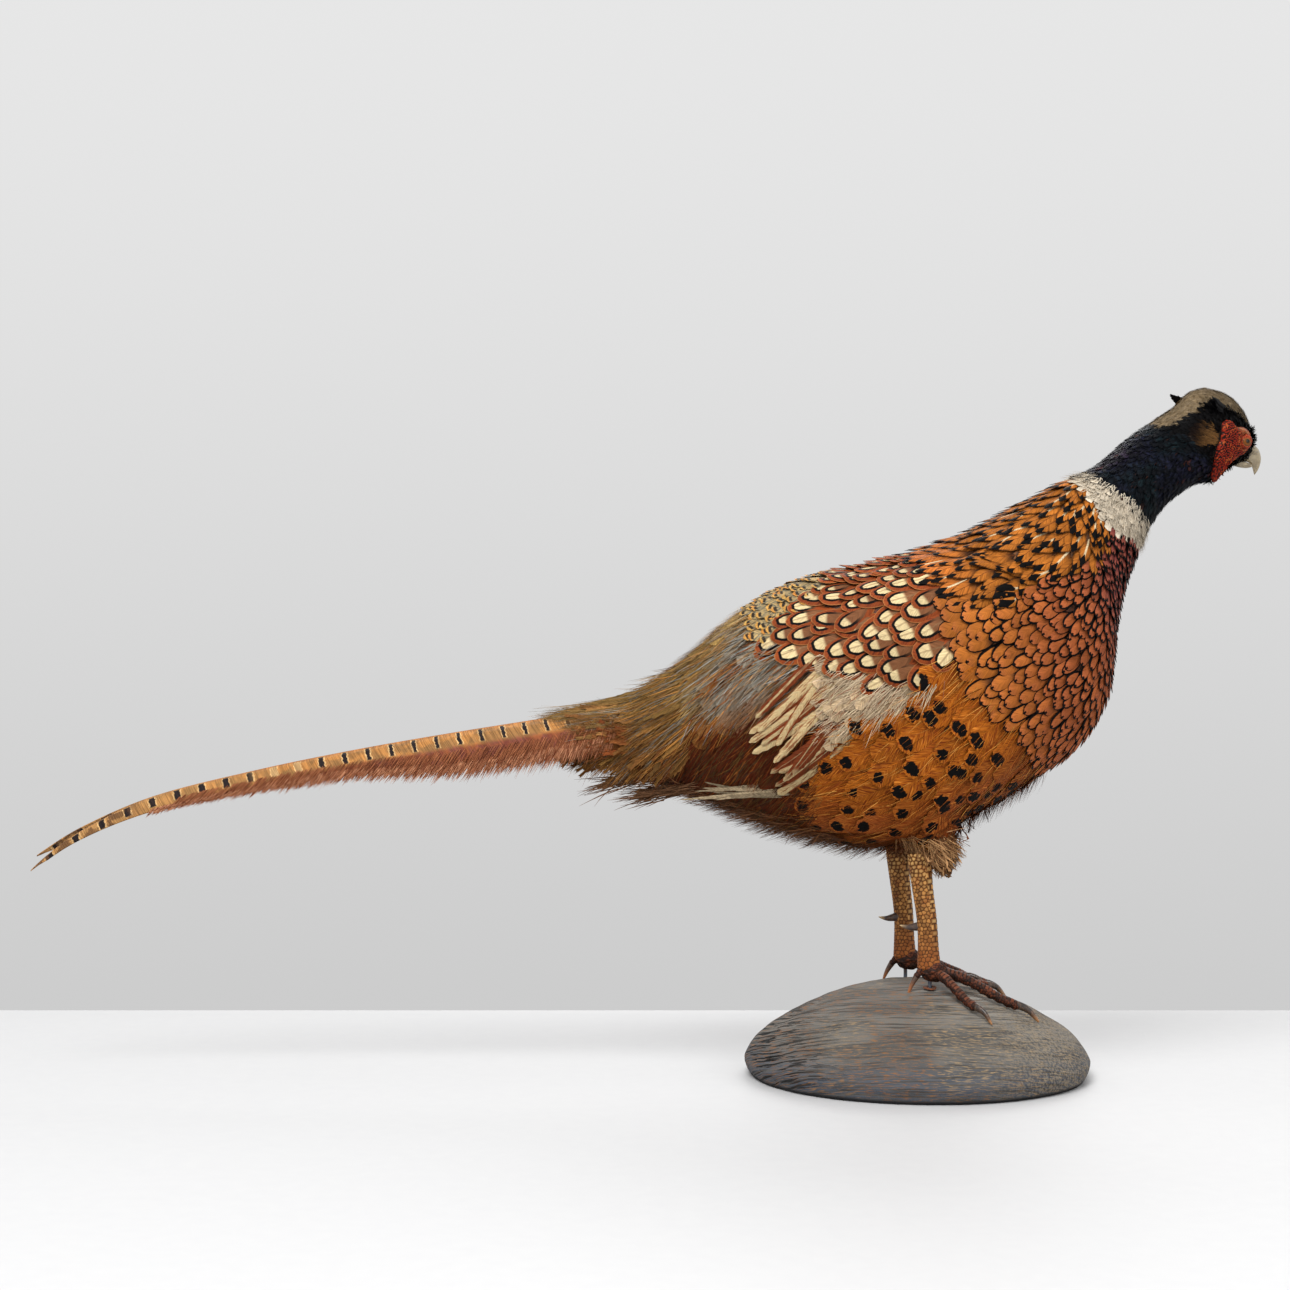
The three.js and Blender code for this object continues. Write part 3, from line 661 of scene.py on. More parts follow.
def tracts(station, angle):
    """For each place, whether it lies in each tract. Later names win over earlier ones."""
    s, angle = station, np.abs(angle)
    top, low = limit_of("scapular_top", s), limit_of("scapular_low", s)
    return {
        "flank": angle >= 0,
        "belly": (angle > 150) & (s < 9),
        "vent": (s < 5.4) & (angle > limit_of("vent", s)),
        "rump": (s < 4.3) & (angle < 85),
        "lower_rump": (s < limit_of("rump_front", angle)) & (angle >= 85) & (angle < 158),
        "back": (s >= 3.3) & (s < 5) & (angle < top),
        "wing_covert": (s > 3.95) & (s < 6.5) & (angle >= low) & (angle < limit_of("covert_low", s)),
        "scapular": (s > 3.7) & (s < 7.0) & (angle >= top) & (angle < low),
        "breast": s > limit_of("breast_back", angle),
        "mantle": (s > 6.1) & (angle < limit_of("mantle", s)),
        "collar": s > limit_of("collar_low", angle),
        "neck": s > limit_of("collar_high", angle),
        "head": s >= NAPE,
    }


CHART = {
    "flank": rgb(176, 96, 24), "belly": rgb(112, 56, 20), "vent": rgb(112, 74, 46),
    "rump": rgb(134, 104, 58), "lower_rump": rgb(80, 31, 10), "back": rgb(176, 140, 84),
    "wing_covert": rgb(188, 166, 138), "scapular": rgb(124, 62, 36), "breast": rgb(150, 80, 42),
    "mantle": rgb(164, 96, 34), "collar": rgb(208, 195, 174), "neck": rgb(13, 14, 18),
    "head": rgb(12, 11, 12),
}


def blend(a, b, share):
    return a * (1 - share) + b * share


def tract_of(station, angle):
    """The name of each place's tract, as its number in the chart."""
    number = np.zeros(len(station), int)
    for k, inside in enumerate(tracts(station, angle).values()):
        number[inside] = k
    return number


def chart_colour(station, angle):
    """Colour of the coat at each place, with the slow changes inside a tract."""
    number = tract_of(station, angle)
    colour = np.array(list(CHART.values()))[number]
    side = np.abs(angle)
    changes = [
        ("rump", rgb(132, 122, 106), 1.7 - np.abs(station - 3.3) * 1.2 - np.abs(side - 58) / 34),
        ("rump", rgb(196, 160, 92), (station - 2.4) * (30 - side) / 25),
        ("rump", rgb(120, 92, 50), (1.8 - station) * 0.8),
        ("rump", rgb(124, 70, 26), (side - 64) / 25),
        ("lower_rump", rgb(122, 72, 30), (1.6 - station) * 0.9),
        ("breast", rgb(122, 60, 56), (station - 9.6) / 1.6),
        ("breast", rgb(172, 100, 40), (8.8 - station) / 1.4),
        ("mantle", rgb(176, 96, 40), (7.2 - station) / 1.0),
        ("flank", rgb(150, 78, 36), (side - 128) / 22)]
    for name, other, share in changes:
        share = np.where(number == list(CHART).index(name), np.clip(share, 0, 1), 0)[:, None]
        colour = blend(colour, other, share)
    return colour


PALE_CROWN = rgb(150, 128, 96)
EAR_GOLD, EAR_DARK = rgb(132, 94, 54), rgb(30, 20, 16)
CROWN_EDGE = ([-42, -32, -22, -16, 2, 14, 24, 31], [-2.5, 4, 15.5, 20, 20.5, 20, 19, 18.5])


def ear_share(places):
    """1 in the middle of the ear coverts and 0 at their edge, for places in the head's own millimetres."""
    ahead, _, up = places.T
    return 1 - ((ahead + 17) / 10) ** 2 - ((up + 2.5) / 7.5) ** 2


def head_colour(places):
    ahead, left, up = places.T
    side = np.abs(left)
    colour = np.tile(CHART["head"], (len(places), 1))
    colour[up > np.interp(ahead, *CROWN_EDGE) + (side - 15) * 0.2] = PALE_CROWN
    ear = (ear_share(places) > 0) & (side > 8)
    gold = np.clip((ahead + 22) / 12, 0, 1)[:, None]
    return np.where(ear[:, None], blend(EAR_DARK, EAR_GOLD, gold), colour)


def on_head_mask(station, angle):
    return station > 15.0 + 0.25 * np.clip(np.abs(angle) / 30, 0, 4)


def coat_colour(points, station, angle):
    colour = chart_colour(station, angle)
    nape = (station > 15.2) & (np.abs(angle) < limit_of("nape", station))
    colour[nape] = PALE_CROWN
    on_it = on_head_mask(station, angle) & ~nape
    colour[on_it] = head_colour(from_head(points[on_it]))
    return colour


# %% Colour the skin and finish it
home = find_station(co)
tint = skin_mesh.attributes.new("tint", "FLOAT_COLOR", "POINT")
# The skin wears the coat's colours at 0.55 of their strength. This is painted shade, because the skin lies under the
# feathers.
shaded_skin_colour = np.concatenate([coat_colour(co, *home) * 0.55, np.ones((len(co), 1))], 1)
tint.data.foreach_set("color", shaded_skin_colour.astype(np.float32).ravel())
corner = read(skin_mesh.loops, "vertex_index", 1, np.int32)[:, 0]
skin_unwrap = unwrap_at(*home)[corner].astype(np.float32)
skin_mesh.uv_layers.new(name="OFBake").data.foreach_set("uv", skin_unwrap.ravel())
skin_mesh.polygons.foreach_set("use_smooth", np.full(len(skin_mesh.polygons), True))

skin_finish, net = new_finish("skin_under_feathers", 0.8)
down_grain = net.cloud(900, 3)
net.looks(net.mix(down_grain.band(0.35, 0.7), net.attribute("tint", "Color"), (60, 46, 36)), down_grain, 0.6)
dress(skin, "body_feathers", skin_finish, *FLESH)

# %% [markdown]
# ## What every feather finish shares
#
# One node group turns the values on the mesh into the marks that a pattern is drawn with: the distance to the edge,
# to the tip and from the shaft, a number that differs from feather to feather, and the slanting streaks of the
# barbs. Distances are in centimetres, so a pattern keeps its real size whatever the feather's length.

# %% The vane group
MARKS = ("edge", "tip", "shaft", "seed", "barbs", "grain")
vane_group, net, given, result = new_group("vane_marks", ("Streaks per cm", "Raggedness"), MARKS)
vane = net.parts(net.attribute("vane", "Vector"))
from_shaft = abs(vane[1])
slant = net.math("MULTIPLY_ADD", from_shaft, 1.3, vane[0])
side_of_shaft = net.math("SIGN", vane[1]) * 3.7
streak_at = net.vector(slant * given["Streaks per cm"], from_shaft * 2 + side_of_shaft, vane[2] * 91)
barbs = net.noise(streak_at, 1, 3)
fine_at = net.node("VectorMath", {0: streak_at, 1: (3.1, 1, 1)}, operation="MULTIPLY")[0]
grain = net.noise(fine_at, 1, 1)
to_side = net.attribute("half_width") - from_shaft
nearest_edge = net.math("SMOOTH_MIN", to_side, vane[0], 0.12)
wander = (barbs - 0.5) * given["Raggedness"]
made = (nearest_edge + wander, vane[0] + wander, from_shaft, vane[2], barbs, grain)
for socket, value in zip(result, made):
    net.put(socket, value)

# %% [markdown]
# Each kind of feather then needs only a short function that takes the marks and gives its pattern. The rest is the
# same for all: streaks, a small difference from feather to feather, and barbs that stand up as ridges.

# %% A finish for any feather
BLACK = (9, 7, 7)


def feather_finish(name, pattern, streaks=9.0, ragged=0.08, contrast=0.5, roughness=0.6, ridge=0.25, **plain):
    material, net = new_finish(name, roughness, **{"Specular_IOR_Level": 0.06, **plain})
    marks = net.group(vane_group, {"Streaks per cm": streaks, "Raggedness": ragged})
    m = SimpleNamespace(**{title: marks[title] for title in MARKS})
    streak = m.barbs * 0.65 + m.grain * 0.35
    shade = streak.band(0.3, 0.7, 1 - contrast, 1 + contrast * 0.6) * m.seed.band(0, 1, 0.84, 1.14)
    net.looks(net.dimmed(pattern(net, m, net.attribute("tint", "Color")), shade), streak, ridge)
    return material


def plain_pattern(net, m, tint):
    return tint


# %% [markdown]
# ## Laying a tract
#
# A tract is laid in one call: pick the roots, take the lie of the coat there, and make the feathers. A few rounds in
# which each root moves to the middle of the places nearest to it turn uneven roots into neat scales.

# %% Relaxed roots and the tract call
pool_tract = tract_of(pool_station, pool_angle)
pool_on_head = on_head_mask(pool_station, pool_angle)
TRACT_NAMES = list(CHART)


def in_tract(*names):
    return np.isin(pool_tract, [TRACT_NAMES.index(n) for n in names]) & ~pool_on_head


def relax(chosen, where, rounds=4):
    inside = np.flatnonzero(where)
    places = pool[inside]
    at = pool[chosen].copy()
    for _ in range(rounds):
        owner = np.empty(len(places), int)
        for first in range(0, len(places), BATCH):
            away = ((places[first:first + BATCH, None] - at) ** 2).sum(2)
            owner[first:first + BATCH] = away.argmin(1)
        count = np.maximum(np.bincount(owner, minlength=len(at)), 1)
        at = np.stack([np.bincount(owner, places[:, k], len(at)) / count for k in range(3)], 1)
    final = np.empty(len(at), int)
    for k, point in enumerate(at):
        final[k] = inside[((places - point) ** 2).sum(1).argmin()]
    return final


def value_at(value, chosen):
    """A size given as one number, or as one number per pool place."""
    value = np.asarray(value, float)
    return value if value.ndim == 0 else value[chosen]


def grow(chosen, root, flow, side, swing, sizes, tint=None, vary=0.0, hue=None, **shape):
    """Feathers at pool places, in the coat's colour, each a little different in lie, shade and size."""
    count = len(chosen)
    turn = np.radians(rng.normal(0, swing, count))[:, None]
    home = pool_station[chosen], pool_angle[chosen]
    colour = coat_colour(pool[chosen], *home) if tint is None else np.tile(tint, (count, 1))
    if hue is not None:
        colour = hue(colour, chosen)
    colour = np.clip(colour * (1 + vary * rng.uniform(-1, 1, (count, 1))), 0, 1)
    sizes = [value_at(size, chosen) * rng.uniform(low, high, count) for size, low, high in sizes]
    return lay_feathers(root, pool_normal[chosen], flow * np.cos(turn) + side * np.sin(turn), *sizes, colour,
                        table_of(*home), **shape)


def lay_tract(where, spacing, length, width, rise, droop=0.0, spread=7.0, neat=False, **look):
    """A layer of vanes over the part of the pool where the mask is true."""
    chosen = scatter(where, spacing)
    if neat:
        chosen = relax(chosen, where)
    flow = flow_at(chosen, value_at(droop, chosen))
    return grow(chosen, pool[chosen], flow, np.cross(pool_normal[chosen], flow), spread,
                ((length, 0.9, 1.1), (width, 0.92, 1.08), (rise, 0.75, 1.15)), **look)


def lay_tufts(where, spacing, length, width, rise, blades=6, fan=14.0, droop=0.0, lie=None, **look):
    """A layer of tufts. The blades of a tuft start together and fan out, and share one place in the unwrap."""
    chosen = scatter(where, spacing)
    flow = flow_at(chosen, value_at(droop, chosen)) if lie is None else lie(chosen)
    roots, flow = np.repeat(chosen, blades), np.repeat(flow, blades, axis=0)
    side = unit(np.cross(pool_normal[roots], flow))
    step = rng.normal(0, 1, (len(roots), 2)) * value_at(spacing, roots)[..., None] * 0.35 * MM
    look = {"vary": 0.25, "rows": 5, **STRAND, **look}
    return grow(roots, pool[roots] + side * step[:, :1] + flow * step[:, 1:], flow, side, fan,
                ((length, 0.7, 1.15), (width, 0.7, 1.3), (rise, 0.5, 1.3)), **look)


s, side = pool_station, np.abs(pool_angle)

# %% [markdown]
# ## Breast
#
# The breast feathers are short and broad, copper with a thin black rim. They are smallest and reddest below the
# white collar and grow towards the flank.


# %% Breast feathers
def breast_pattern(net, m, tint):
    rim = m.edge.under(m.seed.band(0, 1, 0.05, 0.14), 0.015)
    cusp = m.tip.under(0.24, 0.03) * m.shaft.under(0.07, 0.02)
    # Each feather is paler towards its tip, which is a painted sheen. It is darker at its root, which is painted
    # shade where it lies under its neighbours.
    return net.laid(tint, (m.tip.band(0.1, 0.7, 0.3, 0), (190, 104, 70)), (m.tip.band(1.1, 2), (70, 44, 30)),
                    (rim.most(cusp), BLACK))


breast_finish = feather_finish("breast_feather", breast_pattern, streaks=10, ragged=0.05, contrast=0.35)
breast_gap = np.interp(s, [7, 8, 9.5, 11, 12.6], [6.6, 5.6, 4.4, 3.4, 2.8])
breast = lay_tract(in_tract("breast"), breast_gap, breast_gap * 3.6, breast_gap * 1.7, 3.8, droop=-4, spread=6,
                   neat=True, vary=0.14, rows=9, columns=6, comb=0.12, cup=0.2, outline=scale_outline)
join_coat("breast_feathers", [breast], "body_feathers", breast_finish, patch=0.02)

# %% [markdown]
# ## Mantle
#
# The feathers of the mantle, between collar and wings, are narrow and golden, each with a black wedge at the tip.


# %% Mantle feathers
def mantle_pattern(net, m, tint):
    wedge = (m.tip + m.shaft * 2.6).under(m.seed.band(0, 1, 0.5, 0.95), 0.03)
    rim = m.edge.under(0.06, 0.02) * m.tip.band(0.2, 1.2, 1, 0.4)
    pale = m.seed.band(0.8, 0.82) * m.shaft.under(0.06, 0.03)
    # The darker root of each feather is painted shade, where it lies under its neighbours.
    return net.laid(tint, (m.tip.band(1.2, 2.1), (60, 36, 22)), (m.shaft.under(0.02, 0.012), (110, 58, 24)),
                    (pale, (196, 176, 140)), (wedge.most(rim), BLACK))


mantle_finish = feather_finish("mantle_feather", mantle_pattern, ragged=0.12)
mantle_gap = np.interp(s, [6, 8, 10, 11.5], [6.6, 6.1, 5.2, 4.2])
mantle = lay_tract(in_tract("mantle"), mantle_gap, mantle_gap * 3.9, mantle_gap * 1.55, 4.2, droop=3, spread=9,
                   neat=True, vary=0.18, rows=9, outline=pointed_outline, comb=0.3, cup=0.25)
join_coat("mantle_feathers", [mantle], "body_feathers", mantle_finish, patch=0.02)

# %% [markdown]
# ## Flank
#
# Flank feathers are the longest of the body: loose and orange, with one black spot at the tip. Thin strands laid
# between them show the parted barbs.


# %% Flank feathers
def flank_pattern(net, m, tint):
    wander = (net.cloud(400, 3) - 0.5) * 0.55
    middle = abs(m.tip - 0.48 + wander)
    size = m.seed.band(0.1, 1, 0.36, 0.58) + wander
    spot = (m.shaft + middle * 0.55).under(size, 0.03) * middle.under(0.34, 0.04) * m.seed.band(0.1, 0.12)
    # The darker root of each feather is painted shade, where it lies under its neighbours.
    return net.laid(tint, (m.barbs.band(0.46, 0.62), (104, 44, 10)),
                    (m.grain.band(0.56, 0.72, 0, 0.5), (220, 142, 60)),
                    (m.tip.band(1.2, 2.4, 0, 0.6), (118, 54, 16)), (spot, BLACK))


flank_finish = feather_finish("flank_feather", flank_pattern, streaks=7, ragged=0.2, contrast=0.6, ridge=0.4)
flank_gap = np.interp(s, [3.5, 5, 7.5], [13, 14, 10.5])
flank_where = in_tract("flank", "belly") & (s > np.interp(side, [85, 105, 125, 150], [5.5, 5.3, 4.7, 4.8]))
flank = lay_tract(flank_where, flank_gap, flank_gap * 3.1, flank_gap * 1.5, 4.4, droop=16, spread=9,
                  neat=True, rows=14, columns=6, comb=0.9, cup=0.1)


def painted(colour, *over):
    """Colours with others laid over them in turn, each where its mask is true."""
    for where, chart in over:
        colour = np.where(where, rgb(*chart), colour)
    return colour


def flank_hue(colour, roots):
    dice = rng.random(len(roots))[:, None]
    return painted(np.where(dice < 0.18, colour * 0.45, colour), (dice > 0.8, (206, 142, 66)))


flank_hairs = lay_tufts(in_tract("flank", "belly"), 5.2, 25, 0.5, 4.4, blades=5, fan=9, droop=16, hue=flank_hue,
                        vary=0.4)
join_coat("flank_feathers", [flank], "body_feathers", flank_finish, patch=0.03)
strand_finish = feather_finish("strand", plain_pattern, streaks=4, contrast=0.25)
join_coat("flank_strands", [flank_hairs], "body_feathers", strand_finish)

# %% [markdown]
# ## Scapulars
#
# The scapulars cover the shoulder of the wing. They carry the boldest marking of the bird: a cream drop ringed by
# black, inside a broad chestnut edge.


# %% Scapular feathers
def scapular_pattern(net, m, tint):
    chestnut = net.mix(m.barbs.band(0.4, 0.7), (146, 70, 32), (92, 40, 24))
    from_edge = m.edge - m.tip * 0.12 + m.tip.band(0.3, 0.9, -0.03, 0.05)
    ring = from_edge.under(0.38, 0.02)
    edge = from_edge.under(0.21, 0.02)
    beyond = (m.tip - m.seed.band(0, 1, 0.85, 1.4)).band(-0.12, 0.12)
    vein = m.shaft.under(0.05, 0.03) * m.seed.band(0.3, 0.6, 0, 0.6)
    outer = net.mix(m.edge.under(0.05, 0.03), chestnut, (160, 100, 56))
    return net.laid(net.mix(beyond, (208, 186, 140), (122, 78, 50)), (vein, (128, 100, 70)),
                    (m.grain.band(0.58, 0.7, 0, 0.4), (120, 92, 60)), (ring * m.tip.band(1.1, 1.9, 1, 0.2), BLACK),
                    (edge, outer))


scapular_finish = feather_finish("scapular_feather", scapular_pattern, ragged=0.05, contrast=0.28)
scapular_gap = np.interp(side, [0, 25, 45, 80], [7.0, 8.0, 10.5, 9.5])
scapulars = lay_tract(in_tract("scapular"), scapular_gap, scapular_gap * 3.0, scapular_gap * 1.65, 4.8, droop=8,
                      spread=9, neat=True, rows=10, columns=6, cup=0.2)
join_coat("scapular_feathers", [scapulars], "wing_feathers", scapular_finish, patch=0.03)

# %% [markdown]
# ## Back
#
# Behind the scapulars small golden and buff feathers with a dark bar lead to the grey and olive rump.


# %% Back feathers
def back_pattern(net, m, tint):
    bar = m.tip.band(0.14, 0.2) * m.tip.under(0.36, 0.04) * m.edge.band(0.04, 0.1)
    tip = net.mix(m.seed, (206, 164, 90), (180, 116, 50))
    return net.laid(net.mix(m.barbs.band(0.4, 0.6), (122, 116, 96), (168, 140, 92)), (m.tip.under(0.2, 0.04), tip),
                    (bar, (52, 44, 36)))


back_finish = feather_finish("back_feather", back_pattern, streaks=8, ragged=0.14)
back_feathers = lay_tract(in_tract("back"), 4.4, 15, 7, 3.6, spread=14, vary=0.2, comb=0.4)
join_coat("back_feathers", [back_feathers], "rump_feathers", back_finish, patch=0.02)

# %% [markdown]
# ## Rump and tail coverts
#
# The barbs of the rump feathers hang apart like hair. Over a layer of soft vanes lie tufts of thin blades in
# grey-blue, olive, gold and rust patches.


# %% Rump plumes
def patchy(places, scale, turn):
    """A slow wave over the body from -1 to 1, to gather colours in patches."""
    x, y, z = (places / (scale * MM)).T
    return np.sin(x + turn + 1.7 * np.sin(z * 0.8 + turn)) * np.cos(z * 1.3 + y + 0.9 * np.sin(x * 1.1))


def rump_hue(colour, roots):
    dice = rng.random(len(roots))[:, None]
    high = (side[roots] < 84)[:, None]
    gold = (patchy(pool[roots], 9, 1.0) > 0.25)[:, None]
    rust = (patchy(pool[roots], 12, 3.0) > 0.35)[:, None]
    return painted(colour, (high & (dice < 0.06 + 0.14 * gold), (178, 122, 58)),
                   (high & (dice > 0.3) & (dice < 0.36 + 0.3 * rust), (128, 70, 26)),
                   ((dice > 0.72) & (dice < 0.86), (60, 44, 30)), (~high & (dice < 0.12), (122, 66, 26)),
                   (~high & (dice > 0.12) & (dice < 0.34), (84, 60, 28)), (high & (dice > 0.9), (140, 140, 134)))


rump_under = lay_tract(in_tract("rump", "lower_rump"), 8, 26, 12, 3.2, np.interp(side, [40, 90], [8, 34]), spread=9,
                       comb=1.2, vary=0.2)
plume_length = np.interp(s, [0, 1.5, 3, 4.3], [30, 28, 24, 18])
plume_droop = np.interp(side, [0, 40, 90, 140], [0, 14, 44, 52])
rump_plumes = lay_tufts(in_tract("rump", "lower_rump"), 3.6, plume_length, 0.55, 4.8, blades=8, fan=10,
                        droop=plume_droop, hue=rump_hue, vary=0.4)
soft_vane_finish = feather_finish("soft_vane", plain_pattern, streaks=12, contrast=0.6)
join_coat("rump_vanes", [rump_under], "rump_feathers", soft_vane_finish, patch=0.01)
join_coat("rump_plumes", [rump_plumes], "rump_feathers", strand_finish)

# %% [markdown]
# ## Wing coverts and flight feathers
#
# Below the scapulars the wing shows worn grey and cream coverts, and below these long flight feathers, cream with
# broken chestnut, whose tips reach down and back over the rump.


# %% Wing feathers
def between(start, end, count):
    return np.linspace(0, 1, count)[:, None] * (np.array(end) - start) + start


def lay_between(roots, tips, width, rise, tint, **shape):
    """Feathers from one row of stations and angles to another, mirrored onto both sides."""
    for out in (-1, 1):
        home = roots * (1, out)
        start = skin_at(*home.T)
        reach = skin_at(*(tips * (1, out)).T) - start
        up = nearest_on_skin(start)[1]
        yield lay_feathers(start, up, square_to(up, reach), np.linalg.norm(reach, axis=1) / MM, width, rise,
                           np.tile(tint, (len(start), 1)), home, **shape)


def lay_straight(root, tip, lean, width, rise, tint, home, **shape):
    """Feathers laid freely from root to tip, in metres, their faces turned as near as can be to lean."""
    flow = unit(tip - root)
    return lay_feathers(root, square_to(flow, np.array(lean)), flow, np.linalg.norm(tip - root, axis=1) / MM, width,
                        rise, tint, home, drape=False, **shape)


def flight_pattern(net, m, tint):
    cream = net.mix(m.barbs.band(0.35, 0.7), (200, 178, 132), (146, 116, 80))
    brown_edge = (m.shaft - m.seed.band(0, 1, 0, 0.3)).band(-0.02, 0.02)
    blotch = net.noise(net.vector(m.tip * 0.5, m.shaft * 5, m.seed * 57), 1.6, 2).band(0.5, 0.6, 0, 0.8)
    brown = brown_edge.most(blotch) * m.tip.band(0.1, 0.6, 0.3, 1)
    return net.mix(brown, cream, (112, 52, 26))


flight_finish = feather_finish("flight_feather", flight_pattern, streaks=8, ragged=0.14, contrast=0.45)
from_row = between((4.6, 54), (5.0, 98), 15) + rng.normal(0, 1, (15, 2)) * (0.06, 1.0)
to_row = between((3.2, 102), (3.65, 143), 15) + rng.normal(0, 1, (15, 2)) * (0.16, 3.0)
secondaries = lay_between(from_row, to_row, 5.0, np.linspace(8.4, 6.6, 15), rgb(200, 186, 150), rows=24,
                          outline=long_outline, comb=0.5, cup=0.3, hook=rng.normal(-0.3, 0.8, 15))
join_coat("flight_feathers", secondaries, "wing_feathers", flight_finish, patch=0.05)


def wing_tips(count):
    """The tips of the folded primaries, one above the other on each side."""
    for out in (-1, 1):
        start = table_of(rng.uniform(-88, -80, count), out * rng.uniform(43, 47, count), rng.uniform(176, 187, count))
        end = table_of(rng.uniform(-150, -116, count), out * rng.uniform(36, 41, count), np.linspace(183, 175, count))
        home = table_of(np.linspace(3.4, 2.6, count), out * np.linspace(138, 146, count))
        tint = rgb(168, 148, 118) * rng.uniform(0.5, 1.1, (count, 1))
        yield lay_straight(start * MM, end * MM, (0, out, -0.35), 2.6, 0.8, tint, home, rows=16,
                           outline=pointed_outline, comb=0.25, curl=rng.uniform(-0.3, 0.5, count),
                           hook=rng.normal(-0.3, 0.5, count))


join_coat("wing_tip_feathers", wing_tips(13), "wing_feathers", soft_vane_finish, patch=0.02)


def covert_hue(colour, roots):
    dice = rng.random(len(roots))[:, None]
    return painted(colour, (dice < 0.28, (196, 178, 146)), (dice > 0.84, (132, 84, 58)))


covert_where = in_tract("wing_covert") & (s > 4.35) & (s < 6.3)
coverts = lay_tract(covert_where, 7, np.interp(s, [4.4, 5.4], [15, 26]), 7, 4.2, droop=34, spread=10,
                    tint=rgb(172, 148, 116), comb=0.9, vary=0.3)
covert_hairs = lay_tufts(covert_where, 3.8, np.interp(s, [4.4, 5.4], [13, 23]), 0.55, 5.2, blades=9, fan=13, droop=36,
                         hue=covert_hue)
join_coat("covert_vanes", [coverts], "wing_feathers", soft_vane_finish, patch=0.01)
join_coat("covert_plumes", [covert_hairs], "wing_feathers", strand_finish)

# %% [markdown]
# ## Vent and thighs
#
# Under the tail and round the legs the bird wears loose brown down, whose tufts stand away from the body.

# %% Down
vent_where = in_tract("vent") | ((s > 3.9) & (s < 8.3) & (side > 166))
vent_down = lay_tufts(vent_where, 4.2, 20, 0.8, 10, blades=8, fan=26, vary=0.5)
vent_under = lay_tract(vent_where, 8, 22, 11, 3.4, spread=14, rows=6, comb=1.2, vary=0.2)
join_coat("vent_vanes", [vent_under], "body_feathers", soft_vane_finish, patch=0.01)
join_coat("vent_down", [vent_down], "body_feathers", strand_finish)

# %% [markdown]
# ## Collar and neck
#
# The collar is a band of short white feathers with fluffy edges. The neck feathers are very small and nearly black,
# with a metallic sheen that goes from green through blue to violet.

# %% Collar and neck feathers
collar_finish = feather_finish("collar_feather", plain_pattern, streaks=14, contrast=0.34, roughness=0.75)
collar = lay_tract(in_tract("collar"), 3.0, 10, 5.0, 2.6, spread=15, rows=6, columns=2, comb=0.6, vary=0.06)
collar_tufts = lay_tufts(in_tract("collar"), 2.3, 9, 0.5, 4.4, blades=8, fan=20, vary=0.22)
join_coat("collar_feathers", [collar, collar_tufts], "neck_feathers", collar_finish)


def iridescent_pattern(net, m, tint):
    where = net.cloud(22, 2)
    sheen = net.mix(where.band(0.42, 0.52), (22, 36, 40), (32, 34, 54))
    sheen = net.mix(where.band(0.52, 0.62), sheen, (52, 40, 58))
    lit = m.tip.band(0.02, 0.2) * m.seed.band(0.2, 1, 0.1, 0.8)
    return net.laid(tint, (lit, sheen), (m.seed.band(0.98, 0.985) * 0.5, (78, 38, 20)))


neck_finish = feather_finish("neck_feather", iridescent_pattern, streaks=16, roughness=0.5, Metallic=0.2)
neck_gap = np.interp(s, [12, 14, 16], [2.7, 2.4, 2.1])
neck = lay_tract(in_tract("neck"), neck_gap, neck_gap * 4.2, neck_gap * 1.6, 2.2, spread=12, rows=5, columns=2,
                 comb=0.35)
neck_tufts = lay_tufts(in_tract("neck"), 1.9, 8.0, 0.7, 2.2, fan=11, vary=0.5)
join_coat("neck_feathers", [neck, neck_tufts], "neck_feathers", neck_finish)

# %% [markdown]
# ## Thigh tufts
#
# Where the leg leaves the body, short brown feathers hang round it like a cuff. They fall downwards and a little
# forward, so this tract has a lie of its own.

# %% Cuffs of the legs
LEG_SPREAD = 27
THIGH_AHEAD = {"right": 9, "left": 1}
thigh_where = np.zeros(len(pool), bool)
for name, out in HANDS:
    ahead = pool[:, 0] / MM - THIGH_AHEAD[name]
    across = pool[:, 1] / MM - out * LEG_SPREAD
    thigh_where |= (np.hypot(ahead, across) < 24) & (pool[:, 2] < 0.154)


def hang(chosen):
    up = pool_normal[chosen]
    lean = np.array([0.45, 0, -1.0]) + up * 0.35
    return unit(lean - up * (lean * up).sum(1, keepdims=True) * 0.8)


def cuff_hue(colour, roots):
    return blend(rgb(98, 62, 36), rgb(190, 146, 100), rng.random((len(roots), 1)))


cuffs = lay_tufts(thigh_where, 2.6, 16, 0.8, 6.0, blades=8, fan=26, lie=hang, hue=cuff_hue, curl=4.0, hook=1.0)
join_coat("thigh_tufts", [cuffs], "thigh_down", strand_finish)

# %% [markdown]
# ## Head feathers
#
# The crown wears short, greyish olive feathers, smooth as fur. A black band runs under it, hair-like brown feathers
# cover the ear, and the throat is black. The red skin of the cheek is bare; its outline serves the feathers too.

# %% Crown, brow and throat
CHEEK = np.array([(-6, 11.8), (-9.8, 8.3), (-9, 3), (-8.2, -2.2), (-8.6, -10), (-6.6, -15.6), (-4, -20),
                  (-2.8, -24.5), (-0.5, -27.2), (2, -27), (4.3, -21), (4.6, -16), (8.6, -11), (12.8, -6.4), (19, -2),
                  (22, 2), (22.3, 7), (19.6, 11.6), (15, 12.6), (10.6, 12.4), (6, 10.6), (2.4, 9.8), (-0.6, 11.6),
                  (-3, 12.6)])


